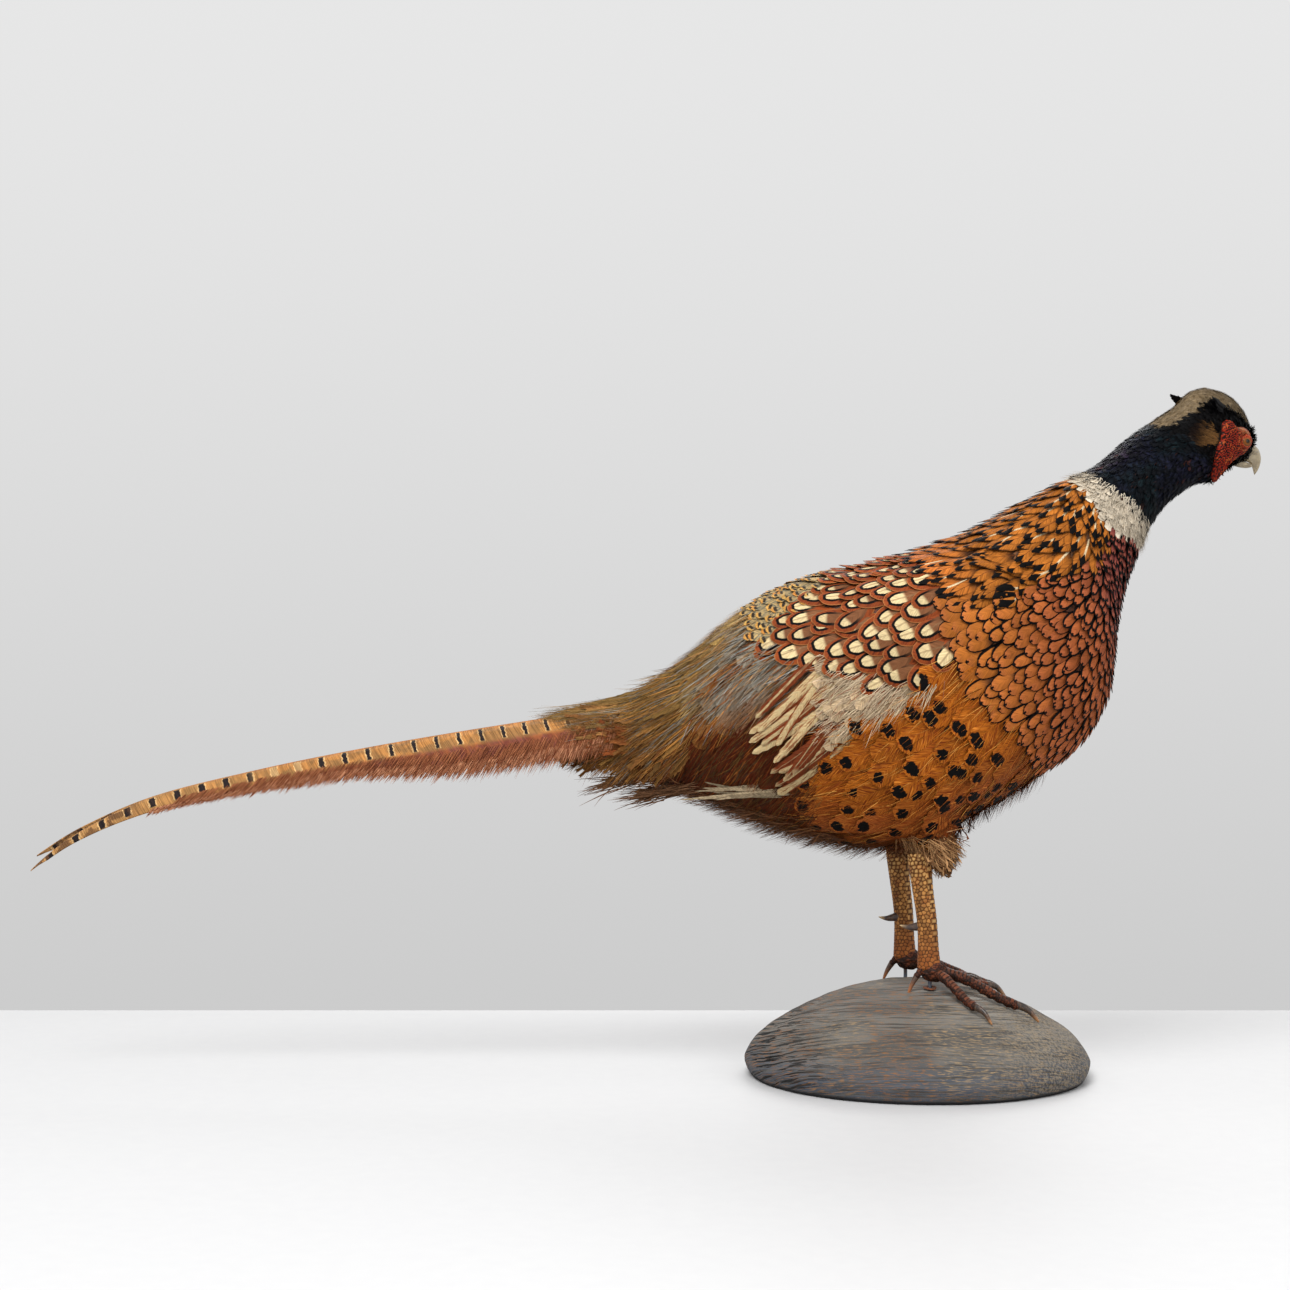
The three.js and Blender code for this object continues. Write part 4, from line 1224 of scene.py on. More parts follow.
def inside_outline(x, y, outline):
    """Whether points lie inside a closed outline: a line from them crosses it an odd number of times."""
    inside = np.zeros(len(x), bool)
    for (x0, y0), (x1, y1) in zip(outline, np.roll(outline, -1, axis=0)):
        crosses = (y0 > y) != (y1 > y)
        inside ^= crosses & (x < x0 + (y - y0) * (x1 - x0) / (y1 - y0 if y1 != y0 else 1e-9))
    return inside


hx, hy, hz = pool_head.T
CHEEK_MIDDLE = np.array([1.5, -3.0])
bare = inside_outline(hx, hz, CHEEK_MIDDLE + (CHEEK - CHEEK_MIDDLE) * 0.93) & (np.abs(hy) > 7)
at_bill = (hx > 36.5) & (hz < 12) & (np.abs(hy) < 7)
feathered = pool_on_head & ~bare & ~at_bill
ear_where = feathered & (ear_share(pool_head) > -0.1) & (np.abs(hy) > 8)
pale_where = feathered & (np.abs(coat_colour(pool, pool_station, pool_angle) - PALE_CROWN).sum(1) < 1e-6)
nape_where = in_tract("neck") & (s > 15.2) & (side < limit_of("nape", s))
dark_where = feathered & ~pale_where & ~ear_where


def crown_pattern(net, m, tint):
    return net.laid(tint, (net.cloud(420, 2).band(0.4, 0.62), (118, 98, 70)),
                    (m.seed.band(0.3, 1, 0, 0.5), (156, 142, 120)))


crown_finish = feather_finish("crown_feather", crown_pattern, streaks=18, contrast=0.4, roughness=0.7)
face_finish = feather_finish("face_feather", plain_pattern, streaks=18, roughness=0.5)
crown = lay_tract(pale_where | nape_where, 1.7, 7.0, 2.0, 0.7, spread=8, rows=5, columns=2, comb=0.25, vary=0.12)
crown_tufts = lay_tufts(pale_where | nape_where, 1.15, 5.5, 0.34, 1.3, blades=8, fan=8)
face = lay_tract(dark_where, 2.0, 6.0, 2.4, 1.6, spread=14, rows=5, columns=2, comb=0.3, vary=0.2)
face_tufts = lay_tufts(dark_where, 1.6, 5.0, 0.6, 1.7, blades=5, vary=0.5)
join_coat("crown_feathers", [crown, crown_tufts], "neck_feathers", crown_finish)

# %% [markdown]
# Loose feathers break the outline of a real head: the black brow over the crown's edge, the bristles before the
# eye, the chin, and the two short ear tufts behind the crown.


# %% Ragged edges, ear coverts and ear tufts
def lie_back(rise):
    return lambda chosen: unit(pool_normal[chosen] * rise - head_ahead)


edge_of_crown = np.abs(hz - np.interp(hx, *CROWN_EDGE) + 1.2) < 1.6
# Brow, lores, chin and throat: where, gap, length, width, rise, blades, fan, how far they stand off, and hook.
RAGGED = [
    (edge_of_crown & (hx > -20) & (np.abs(hy) > 9), 2.0, 5.0, 0.8, 3.4, 5, 24, 0.25, 0),
    ((hx > 27) & (hz > 5) & (hz < 20), 1.7, 3.6, 0.8, 3.4, 7, 38, 0.6, 1.5),
    ((hz < -19) & (hx > -12) & (hx < 14), 2.2, 7.0, 0.9, 4.0, 6, 26, 0.5, 0),
    ((hz < -8) & (hx > 12) & (hx < 32), 2.2, 4.0, 0.8, 3.0, 5, 26, 0.4, 0)]
ragged = [lay_tufts(dark_where & where, *sizes, blades=blades, fan=fan, lie=lie_back(off), hook=hook)
          for where, *sizes, blades, fan, off, hook in RAGGED]
ears = lay_tufts(ear_where, 1.2, 8.0, 0.35, 1.5, fan=9, lie=lie_back(0.02), vary=0.35)


def ear_horns(count):
    for out, raised in ((-1, 0), (1, 2.5)):
        root = on_head(rng.uniform(-17, -9, count), out * rng.uniform(13, 15, count),
                       rng.uniform(15, 19, count) + raised / 2)
        tip = on_head(rng.uniform(-27, -21, count), out * rng.uniform(14, 16.5, count),
                      rng.uniform(16, 20, count) + raised)
        yield lay_straight(root, tip, unit(head_left * out + head_up * 0.4), 3.2, 0.6,
                           np.tile(CHART["head"], (count, 1)), table_of(*find_station(root)), rows=5, columns=2,
                           outline=pointed_outline, comb=0.3, curl=0.8)


join_coat("face_feathers", [face, face_tufts, *ragged, *ear_horns(34)], "neck_feathers", face_finish)
for side_name in SIDES:
    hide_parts(f"ear_tuft_{side_name}")
join_coat("ear_coverts", [ears], "neck_feathers", strand_finish)

# %% [markdown]
# ## The red cheek
#
# The cheek is a net that spreads from its middle to the outline, lifted off the head in a cushion, with one low dome
# per wart and a hollow for the eye. The finish paints each wart lighter on top and darker on its sides, and paints
# shade into the gaps between the warts.

# %% Cheeks
HEAD_ALONG = [-33, -23, -10, 3, 16, 28, 39]
HEAD_SIZES = [12, 16, 17.3, 17, 14.8, 11.5, 6.8], [21, 30.5, 34, 35, 32.5, 25, 15], [10, 20, 27, 31, 16, 8.5, 5]
EYE_RADIUS = 4.7


def head_side(ahead, up):
    """How far the side of the head stands out from its middle plane."""
    half, rise, fall = (np.interp(ahead, HEAD_ALONG, sizes) for sizes in HEAD_SIZES)
    share = np.clip(np.abs(up) / np.where(up > 0, rise, fall), 0, 0.75)
    return half * np.sqrt(1 - share ** 2)


def closed_piece(name, points, values, unwrap, slot, finish, *nodes, flip=False):
    """A piece from closed rings of points, in metres. flip turns its faces over."""
    rows, columns = points.shape[:2]
    faces = grid_faces(rows, columns, closed=True)
    data = {key: np.broadcast_to(value, (rows, columns)).ravel() for key, value in values.items()}
    unwrap = None if unwrap is None else unwrap.reshape(-1, 2)
    piece = build_mesh(name, points.reshape(-1, 3), [faces[:, ::-1] if flip else faces], data, unwrap)
    return dress(piece, slot, finish, *nodes)


def spread_points(low, high, gap):
    """Uneven points over a rectangle, none nearer than the gap to another."""
    kept = []
    for point in rng.uniform(low, high, (9000, 2)):
        if not kept or (((np.array(kept) - point) ** 2).sum(1) > gap * gap).all():
            kept.append(point)
    return np.array(kept)


RINGS, SPOKES = 64, 190
turn = full_turn(SPOKES)
arms = CHEEK - CHEEK_MIDDLE
outline_turn = np.unwrap(np.arctan2(arms[:, 1], arms[:, 0]))
closed_turn = np.append(outline_turn, outline_turn[0] + 2 * np.pi)
closed_reach = np.append(np.hypot(*arms.T), np.hypot(*arms[0]))
reach = np.interp((turn - closed_turn[0]) % (2 * np.pi) + closed_turn[0], closed_turn, closed_reach)
share = np.linspace(0.015, 1, RINGS)[:, None]
flat = CHEEK_MIDDLE + (share * reach)[..., None] * table_of(np.cos(turn), np.sin(turn))
warts = spread_points((-12, -31), (25, 16), 1.05)
to_wart = np.sqrt(((flat.reshape(-1, 1, 2) - warts[None]) ** 2).sum(2)).min(1)
wart = np.clip(1 - (to_wart / 0.6) ** 2, -0.4, 1).reshape(RINGS, SPOKES)
ahead, up_way = flat[..., 0], flat[..., 1]
to_eye = np.hypot((ahead - EYE_AHEAD) / 1.1, up_way - EYE_UP)
lid = np.exp(-(((ahead - 10.5) / 6.5) ** 2 + ((up_way - 9.6) / 1.8) ** 2))
cushion = 1.2 * np.sqrt(np.clip(1 - share ** 6, 0, 1)) - 1.8 * share ** 14
out_by = head_side(ahead, up_way) + 0.5 + cushion + 0.45 * wart * (1 - lid) + 1.3 * lid
out_by = out_by - 2.3 * np.exp(-(to_eye / 5.2) ** 4)
pale_skin = np.clip(lid + 1.2 * np.exp(-((to_eye - 4.6) / 0.9) ** 2), 0, 1)
spread_out = (flat - flat.min((0, 1))) / np.ptp(flat, axis=(0, 1)) * 0.96 + 0.02

cheek_finish, net = new_finish("cheek_skin", 0.5, Specular_IOR_Level=0.12)
height = net.attribute("wart")
bald = net.attribute("lid") * net.cloud(500, 2).band(0.35, 0.6, 0.35, 1)
# Painted light and shade: the warts are lighter red on top and darker on their sides, and the gaps between them are
# painted near black.
red = net.laid(net.mix(height.band(0, 0.9), (78, 12, 6), (150, 40, 14)),
               (net.cloud(260, 2).band(0.52, 0.7, 0, 0.6), (186, 92, 40)),
               (height.band(-0.38, 0.1, 1, 0), (24, 4, 3)),
               (bald * 0.6, (206, 140, 92)))
net.looks(red, net.cloud(1500, 2), 0.15)
for name, out in HANDS:
    closed_piece(f"cheek_{name}", on_head(ahead, out * out_by, up_way), {"wart": wart, "lid": pale_skin}, spread_out,
                 "wattle_skin", cheek_finish, f"wattle_{name}", flip=out > 0)

# %% [markdown]
# ## Eyes
#
# A taxidermist's eye is a glass cap with the iris painted behind it. Pupil, iris and dark rim are drawn by the
# distance from the middle of the pupil, in degrees. A rolled lid of red skin with a pale crest runs round the ball.


# %% Glass eyes and lids
def frame_of(axis, square):
    """An axis and two directions across it, the first as near as can be to the square direction."""
    axis = unit(np.asarray(axis, float))
    first = unit(square - axis * (square @ axis))
    return axis, first, np.cross(axis, first)


def dome(axes, lean, turn):
    """Directions that lean from the first axis by one angle and are turned about it by another."""
    lean, turn = lean[..., None], turn[..., None]
    return np.cos(lean) * axes[0] + np.sin(lean) * (np.cos(turn) * axes[1] + np.sin(turn) * axes[2])


eye_finish, net = new_finish("glass_eye", 0.3, Specular_IOR_Level=0.1, Coat_Weight=0.35, Coat_Roughness=0.03)
degrees = net.attribute("from_pupil")
rays = net.noise(net.vector(net.attribute("round") * 14, 0, 0), 1, 2)
amber = net.mix(rays.band(0.3, 0.7), (92, 46, 8), (136, 78, 14))
amber = net.laid((58, 38, 12), (degrees.band(12, 26), amber), (degrees.band(30, 44), (40, 20, 8)))
net.looks(net.mix(degrees.band(11, 15), (8, 6, 4), amber))

lid_finish, net = new_finish("eyelid", 0.5, Specular_IOR_Level=0.15)
crease = net.cloud(700, 3)
from_rim = net.attribute("from_rim")
crest = from_rim.band(0.55, 0.8, 0, 0.6) * crease.band(0.45, 0.6)
fold = net.laid(net.mix(crease.band(0.4, 0.62), (96, 24, 12), (158, 62, 30)),
                (crest, (190, 136, 76)), (from_rim.band(0.02, 0.12, 0.8, 0), (140, 92, 54)))
net.looks(fold, crease, 0.3)
for name, out in HANDS:
    middle = on_head(EYE_AHEAD, out * (EYE_OUT + 0.6), EYE_UP)
    axes = frame_of(head_left * out - head_ahead * 0.3 + head_up * 0.08, head_up)
    lean = np.linspace(0.01, math.radians(115), 30)[:, None]
    turn = full_turn(56)[None]
    closed_piece(f"eyeball_{name}", middle + dome(axes, lean, turn) * EYE_RADIUS * MM,
                 {"from_pupil": np.degrees(lean), "round": np.abs(turn - np.pi)},
                 0.5 + table_of(np.cos(turn) * lean, np.sin(turn) * lean) * 0.24,
                 "glass_eye", eye_finish, f"eye_{name}")
    # The opening sits low: the upper lid hangs over the ball in a fold.
    turn = full_turn(60)[None]
    share = np.linspace(0, 1, 10)[:, None]
    upper = np.clip(np.cos(turn), 0, 1)
    open_by = np.radians(40 - 24 * upper ** 1.2 - 3 * np.abs(np.sin(turn)))
    away = dome(axes, open_by + share * (np.radians(96) - open_by), turn)
    swell = (0.35 + 0.75 * upper) * np.sin(np.pi * np.clip(share * 1.05, 0, 1)) ** 0.6
    closed_piece(f"eyelid_{name}", middle + away * ((EYE_RADIUS - 0.05 + swell)[..., None] * MM),
                 {"from_rim": share}, None, "wattle_skin", lid_finish)

# %% [markdown]
# ## Bill
#
# The bill is drawn as two lines in the middle plane, its ridge and its cutting edge, with a width between them.


# %% Bill
def smooth_line(points, t):
    """A smooth curve through points. t counts from 0 at the first point to 1 at the last."""
    points = np.asarray(points, float)
    place = np.clip(np.asarray(t, float), 0, 1) * (len(points) - 1)
    first = np.minimum(place.astype(int), len(points) - 2)
    f = (place - first)[..., None]
    before, after = points[np.maximum(first - 1, 0)], points[np.minimum(first + 2, len(points) - 1)]
    p, q = points[first], points[first + 1]
    return 0.5 * (2 * p + (q - before) * f + (2 * before - 5 * p + 4 * q - after) * f ** 2
                  + (3 * p - before - 3 * q + after) * f ** 3)


def mandible(name, ridge, cut, half, node, rows=40, columns=28):
    t = np.linspace(0, 1, rows)
    top, low = smooth_line(ridge, t), smooth_line(cut, t)
    wide = smooth_line(np.array(half)[:, None], t)
    turn = full_turn(columns)
    tall = (1 + np.cos(turn)) / 2
    bulge = np.sin(turn) * np.sqrt(np.abs(np.sin(turn))) ** 0.3
    place = low[:, None] + (top - low)[:, None] * (tall ** 0.9)[None, :, None]
    left = wide * bulge * (1 - 0.12 * (1 - tall))
    closed_piece(name, on_head(place[..., 0], left, place[..., 1]), {"along": t[:, None]},
                 table_of(t[:, None], turn / (2 * np.pi)) * 0.96 + 0.02, "bill_horn", bill_finish, node)


bill_finish, net = new_finish("bill_horn", 0.32, Coat_Weight=0.15, Coat_Roughness=0.25)
along = net.attribute("along")
grown = net.noise(net.vector(along * 5, 0, 0), 4, 3)
cloud = net.cloud(160, 3)
horn = net.laid(net.mix(cloud.band(0.35, 0.65), (134, 118, 92), (170, 154, 124)),
                (along.band(0, 0.35, 0.65, 0), (96, 84, 62)),
                (along.band(0.8, 1, 0, 0.5), (120, 104, 78)),
                (grown.band(0.5, 0.7, 0, 0.25), (110, 102, 80)))
net.looks(horn, cloud, 0.2)
mandible("bill_upper_horn",
         [(26, 9), (33, 9.9), (39, 9.8), (44, 7.8), (47.4, 4), (48.5, -0.5), (48.2, -4.6), (47, -8)],
         [(26, -3.6), (31, -3.2), (36, -2.6), (40, -2.4), (42.8, -3.2), (44.6, -5), (45.8, -6.8), (46.8, -8.1)],
         [6.4, 6.2, 5.4, 4.4, 3.4, 2.4, 1.3, 0.15], "bill_upper")
mandible("bill_lower_horn", [(25, -3.4), (31, -3.4), (36, -3.0), (40, -2.9), (42.6, -3.6)],
         [(25, -8.6), (31, -8.0), (36, -7.0), (40, -5.6), (42.8, -4.0)],
         [5.2, 4.8, 4.0, 2.9, 0.4], "bill_lower")

# %% [markdown]
# A nostril lies at the root of the bill on each side, under a small swollen flap.

# %% Nostrils
for name, out in HANDS:
    t = np.linspace(-1, 1, 15)[:, None]
    turn = full_turn(14)[None]
    fat = 1.15 * np.sqrt(np.clip(1 - t ** 2, 0.002, 1))
    points = on_head(37.4 + 3.0 * t, out * (4.9 - 0.5 * t + 0.75 * fat * np.cos(turn)),
                     3.8 + 0.9 * t + fat * np.sin(turn))
    closed_piece(f"nostril_flap_{name}", points, {"along": np.array(0.2)}, None, "bill_horn", bill_finish)

# %% [markdown]
# ## Tail
#
# The vanes of the two long middle feathers droop on both sides of the shaft and together make a roof. A point of it
# is found from a number along the ridge, 0 under the coverts to 7 at the tips, and a number from 0 on the ridge to 1
# at the lower edge. Beyond 4.6 the two feathers part.

# %% The roof of the tail
TAIL_RIDGE = [(-186, 232), (-228, 225), (-291, 215), (-354, 204), (-417, 191), (-480, 175), (-527, 155), (-556, 137)]
TAIL_DROP = np.array([16, 24, 24, 15, 12, 10, 6, 3.0])
TAIL_HALF = np.array([24, 23, 19, 15, 11, 8, 5, 2.5])
TAIL_PARTS, TAIL_TIP = 4.6, 7.0


def along_tail(sizes, t):
    return smooth_line(sizes[:, None], t / TAIL_TIP)[..., 0]


def on_tail(t, out, across, lift=0.0):
    """Points of the roof on one side of the ridge, in metres. Beyond 1 they hang below the lower edge."""
    t, across, lift = np.broadcast_arrays(np.asarray(t, float), across, lift)
    ridge = smooth_line(TAIL_RIDGE, t / TAIL_TIP)
    drop, half = along_tail(TAIL_DROP, t), along_tail(TAIL_HALF, t)
    parted = np.clip((t - TAIL_PARTS) / (TAIL_TIP - TAIL_PARTS), 0, 1)
    share = [0, 0.4, 0.75, 1, 1.8]
    wide = np.interp(across, share, [0, 0.45, 0.85, 1, 1.02]) * half
    low = np.interp(across, share, [0, 0.12, 0.5, 0.92, 2.2]) * drop
    slope = np.interp(across, share, [0.1, 0.5, 1.2, 1.5, 1.5])
    sideways = out * (0.3 + 7 * parted ** 1.5 + wide + lift * np.sin(slope))
    lowered = 8 * parted ** 2 if out < 0 else 0
    return table_of(ridge[..., 0], sideways, ridge[..., 1] - lowered - low + lift * np.cos(slope)) * MM


def tail_middle(out):
    """One middle feather as a closed thin solid, with the numbers that draw its bars on every point."""
    t = np.linspace(0.1, TAIL_TIP, 300)[:, None]
    top = np.linspace(0, 1, 16)[None]
    narrow = np.sqrt(np.clip((TAIL_TIP + 0.02 - t) / 0.5, 0, 1))
    ring = np.concatenate([on_tail(t, out, top * narrow), on_tail(t, out, top[:, ::-1] * narrow, -0.8)], 1)
    rows, columns = ring.shape[:2]
    below = (on_tail(t, out, 0.0)[..., 2] - ring[..., 2]) / MM
    along = -219.6 - (ring[..., 0] / MM - 0.37 * (below - 3.5))
    bar = (np.sqrt(np.maximum(176.9 + 0.26 * along, 0)) - 13.3) / 0.13
    unwrap = table_of(0.02 + 0.96 * t / TAIL_TIP, np.linspace(0.02, 0.48, columns) + 0.5 * (out > 0)).reshape(-1, 2)
    faces = grid_faces(rows, columns, closed=True)
    values = {"roof": table_of(bar, below, t).reshape(-1, 3)}
    return build_mesh(f"tail_feather_{'left' if out > 0 else 'right'}", ring.reshape(-1, 3),
                      [faces if out < 0 else faces[:, ::-1]], values, unwrap)


# %% [markdown]
# The upper part of each vane is buff and crossed by black bars with pale rims. The lower part is a dull lilac red,
# and its barbs hang apart. Towards the tips the buff takes the whole vane.

# %% Finish of the middle tail feathers
tail_finish, net = new_finish("tail_feather", 0.62, Specular_IOR_Level=0.1)
bar, below, along = net.parts(net.attribute("roof", "Vector"))
x, y, z = net.parts(net.place())
slanted = x + z * 0.75
barbs = net.noise(net.vector(slanted * 1500, z * 60, y * 60), 1, 3)
cloud = net.cloud(110, 3, 0.6)
wander = (net.cloud(420, 2) - 0.5) * 0.16
to_bar = abs(net.math("FRACT", bar + 0.5) - 0.5) + wander
tall = along.band(2.6, 3.8, 7.4, 6)
from_top = below - 0.6
in_height = from_top.band(-0.3, 0.3) * from_top.under(tall, 0.5)
weak = abs(bar - 12.6).band(0.6, 1.6, 0.25, 1)
half_bar = along.band(2.5, 4, 0.082, 0.12)
black_bar = to_bar.under(half_bar, 0.018) * in_height * weak
pale_rim = to_bar.under(half_bar + 0.05, 0.02) * in_height * 0.85
smudge = to_bar.under(0.14, 0.06) * below.band(14, 17, 0.7, 0)
tip_blotch = net.cloud(130, 3).band(0.46, 0.54) * along.band(4.9, 5.5)
buff = net.laid(net.mix(cloud.band(0.38, 0.62), (178, 122, 66), (142, 102, 60)),
                (below.band(0.3, 1.4, 0.5, 0), (176, 108, 54)),
                (along.band(3.6, 5.4, 0, 0.6), (172, 130, 80)))
lilac = net.laid(net.mix(cloud.band(0.4, 0.6), (140, 78, 46), (120, 66, 52)),
                 (smudge, (104, 50, 36)), (along.band(3, 4.2, 0, 0.8), (160, 86, 44)))
depth = below + (barbs - 0.5) * 5
past_buff = (depth - along.band(3, 5.2, 8.6, 11)).band(-1.2, 2.2)
vane = net.laid(buff, (past_buff, lilac), (pale_rim, (208, 168, 114)), (black_bar, (34, 26, 26)),
                (tip_blotch * 0.8, (92, 62, 40)))
net.looks(net.dimmed(vane, barbs.band(0.32, 0.7, 0.62, 1.25)), barbs, 0.35)

for name, out in HANDS:
    nodes = ["tail_tip_" + name] + (["tail_root", "tail_middle"] if out < 0 else [])
    feather = dress(tail_middle(out), "tail_feathers", tail_finish, *nodes)
    print(feather.name, len(feather.data.vertices), "points")

# %% [markdown]
# Loose barbs hang backward and down from the lower half of the roof. Each ends at a point of the roof further back
# and beyond the edge, so they follow the curve of the tail.


# %% Hanging barbs
def hanging_barbs(count, across, t_range, reach, colours, width=0.55):
    for out in (-1, 1):
        t = rng.uniform(*t_range, count)
        start = rng.uniform(*across, count)
        long = np.interp(t, [0, 1, 2.5, 3.4, 4.6], reach) * rng.uniform(0.35, 1.25, count)
        drop = along_tail(TAIL_DROP, t)
        back = np.interp(t, [0, 2.5, 4.6], [0.62, 0.7, 0.9])
        root = on_tail(t, out, start, 0.3)
        tip = on_tail(t + long * back / 64, out, start + long * np.sqrt(1 - back ** 2) / drop * 0.9,
                      rng.uniform(0.5, 1.6, count))
        tint = blend(*colours, rng.random((count, 1)))
        yield lay_straight(root, tip, (0, out, 0.35), width, 0.3, tint, table_of(t, out * (20 + 100 * start)),
                           rows=4, curl=rng.uniform(-0.8, 1.2, count), hook=rng.normal(0, 0.5, count), **STRAND)


barbs_on = hanging_barbs(1300, (0.7, 0.98), (0.1, 4.7), [12, 10.5, 8.5, 8, 5.5], (rgb(92, 44, 26), rgb(158, 98, 64)),
                         0.45)
barbs_edge = hanging_barbs(2000, (0.9, 1.02), (0.1, 5.0), [8, 7, 6.5, 6.5, 4.5],
                           (rgb(110, 54, 32), rgb(184, 128, 94)))
join_coat("tail_barbs", [*barbs_on, *barbs_edge], "tail_feathers", strand_finish)


def root_plumes(count, width, reach, **shape):
    """The last coverts: they start on the body and lie along the root of the tail."""
    for out in (-1, 1):
        station = rng.uniform(0.05, 1.3, count)
        turn = rng.uniform(5, 122, count)
        share = turn / 118
        t = (0.22 + rng.random(count) ** 1.5) * (1.1 - 0.6 * share) * reach
        across = share * rng.uniform(0.95, 1.35, count) + rng.normal(0, 0.05, count)
        tip = on_tail(t, out, np.clip(across, 0, 1.5), rng.uniform(0.3, 0.8, count) + 1.6 * np.exp(-3 * t))
        dice = rng.random((count, 1))
        low = np.clip(share[:, None] * 1.3 - 0.4 + rng.uniform(-0.3, 0.5, (count, 1)), 0, 1)
        tint = blend(rgb(134, 104, 58), rgb(118, 60, 26), low)
        tint = painted(tint, ((dice < 0.12) & (share < 0.7)[:, None], (128, 122, 108)))
        tint = tint * rng.uniform(0.5, 1.3, (count, 1))
        yield lay_straight(skin_at(station, out * turn), tip, (0, out, 0.5), width, 0.4, tint,
                           table_of(station, out * turn), curl=rng.uniform(-0.6, 0.6, count),
                           hook=rng.normal(0, 0.6, count), **shape)


def side_plumes(count, width, top, golden, **shape):
    """Loose plumes at the sides of the tail root, which hang back and down past the tail."""
    for out in (-1, 1):
        station = rng.uniform(0.1, 2.0, count)
        turn = rng.uniform(top, 116, count)
        slope = np.radians(20 + 26 * turn / 116 + rng.normal(0, 6, count))
        flow = unit(table_of(-np.cos(slope), out * rng.uniform(-0.04, 0.12, count), -np.sin(slope)))
        dice = rng.random((count, 1))
        low = np.clip(turn[:, None] / 116 - 0.3 + rng.uniform(-0.3, 0.4, (count, 1)), 0, 1)
        tint = painted(blend(rgb(130, 98, 50), rgb(104, 52, 20), low), (dice < golden, (178, 122, 58)),
                       (dice > 1 - golden, (112, 108, 98))) * rng.uniform(0.5, 1.25, (count, 1))
        yield lay_feathers(skin_at(station, out * turn), square_to(flow, np.array([0, out, 0.5])), flow,
                           rng.uniform(18, 36, count), width, 0.8, tint, table_of(station, out * turn),
                           drape=False, curl=rng.uniform(-0.6, 0.8, count), hook=rng.normal(0, 0.6, count), **shape)


for plumes, name, vane_sizes, strand_sizes in (
        (side_plumes, "side", (90, 2.6, 50, 0.0), (3200, 0.5, 18, 0.15)),
        (root_plumes, "root", (110, 3.2, 0.9), (3200, 0.5, 1.0))):
    join_coat(f"tail_{name}_vanes", plumes(*vane_sizes, rows=9, comb=0.8), "rump_feathers", soft_vane_finish,
              patch=0.01)
    join_coat(f"tail_{name}_plumes", plumes(*strand_sizes, rows=6, **STRAND), "rump_feathers", strand_finish)

# %% [markdown]
# Under the roof lie shorter feathers, of which only the dark ends show. At the root the ragged ends of the outer
# feathers stick out below the coverts.


# %% Shorter tail feathers
def curved_feather(t, out, low, width, tint, outline):
    """A feather under the roof along the ridge's curve. low is how far its middle lies below the ridge."""
    a = np.linspace(0, 1, len(t))[:, None]
    b = np.linspace(-1, 1, 5)[None]
    middle = on_tail(t, out, 0.35)[:, None]
    half = outline(a) * width / 2
    fray = (np.abs(b) == 1) * rng.uniform(0, 1.0, (len(t), 1))
    drop = (low[:, None] + b * half * 0.9) + fray * b
    points = middle + table_of(fray * -2.0, out * (b * half * 0.4 + 2), -drop) * MM
    length = np.linalg.norm(middle[-1] - middle[0]) / MM
    values = {"vane": table_of((1 - a) * length / 10, b * half / 10, 0.3).reshape(-1, 3),
              "half_width": table_of(half / 10, b)[..., 0].ravel(), "tint": np.tile([*tint, 1.0], (len(t) * 5, 1))}
    unwrap = table_of(t[:, None], out * 90.0, a - 0.5, b / 2).reshape(-1, 4)
    return points.reshape(-1, 3), grid_faces(len(t), 5), values, unwrap


def under_tail_pattern(net, m, tint):
    return net.laid(tint, (m.barbs.band(0.5, 0.7, 0, 0.5), (140, 96, 60)), (m.shaft.under(0.03, 0.02), (96, 66, 44)))


under_finish = feather_finish("under_tail_feather", under_tail_pattern, streaks=12, contrast=0.6)
shorter = []
for end, width, hang_by in ((4.45, 7, 6.5), (3.6, 9, 6.5), (2.8, 12, 7)):
    for out in (-1, 1):
        t = np.linspace(0.3, end - 0.12 * (out > 0), 50)
        low = along_tail(TAIL_DROP, t) * 0.42 + hang_by * (t / end) ** 5
        shorter.append(curved_feather(t, out, low, width, rgb(70, 44, 30), pointed_outline))
outer_ends = {"upper": ((-176, 206), (-216, 199), 14), "lower": ((-158, 192), (-202, 180), 20),
              "lowest": ((-138, 182), (-180, 174), 26)}
OUTER = 90
for (from_x, from_z), (to_x, to_z), wide in outer_ends.values():
    for out in (-1, 1):
        share = rng.uniform(0, 0.75, (OUTER, 1))
        line = np.array([to_x - from_x, -4 * out, to_z - from_z])
        root = np.array([from_x, out * wide, from_z]) + line * share + rng.normal(0, 1, (OUTER, 3)) * (2, 1.5, 1.8)
        tip = root + line * rng.uniform(0.25, 0.55, (OUTER, 1)) + rng.normal(0, 1, (OUTER, 3)) * (2, 1.5, 2.2)
        tint = rgb(64, 42, 28) * rng.uniform(0.6, 2.2, (OUTER, 1))
        home = table_of(0.5, out * np.linspace(120, 170, OUTER))
        shorter.append(lay_straight(root * MM, tip * MM, (0, out, 0.5), 0.8, 0.6, tint, home,
                                    hook=rng.normal(0, 0.8, OUTER), **STRAND))
join_coat("tail_under_feathers", shorter, "tail_feathers", under_finish, patch=0.05)
side_nodes = [f"tail_side_{name}_{level}" for name in SIDES for level in outer_ends]
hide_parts(*side_nodes)

# %% [markdown]
# ## Mound
#
# The mount stands on a turned dome of coarse wood, painted blue-grey and then rubbed. The grain is drawn as nearly
# level layers, which the dome cuts into lines that bend round its ends, where the wood has also split.

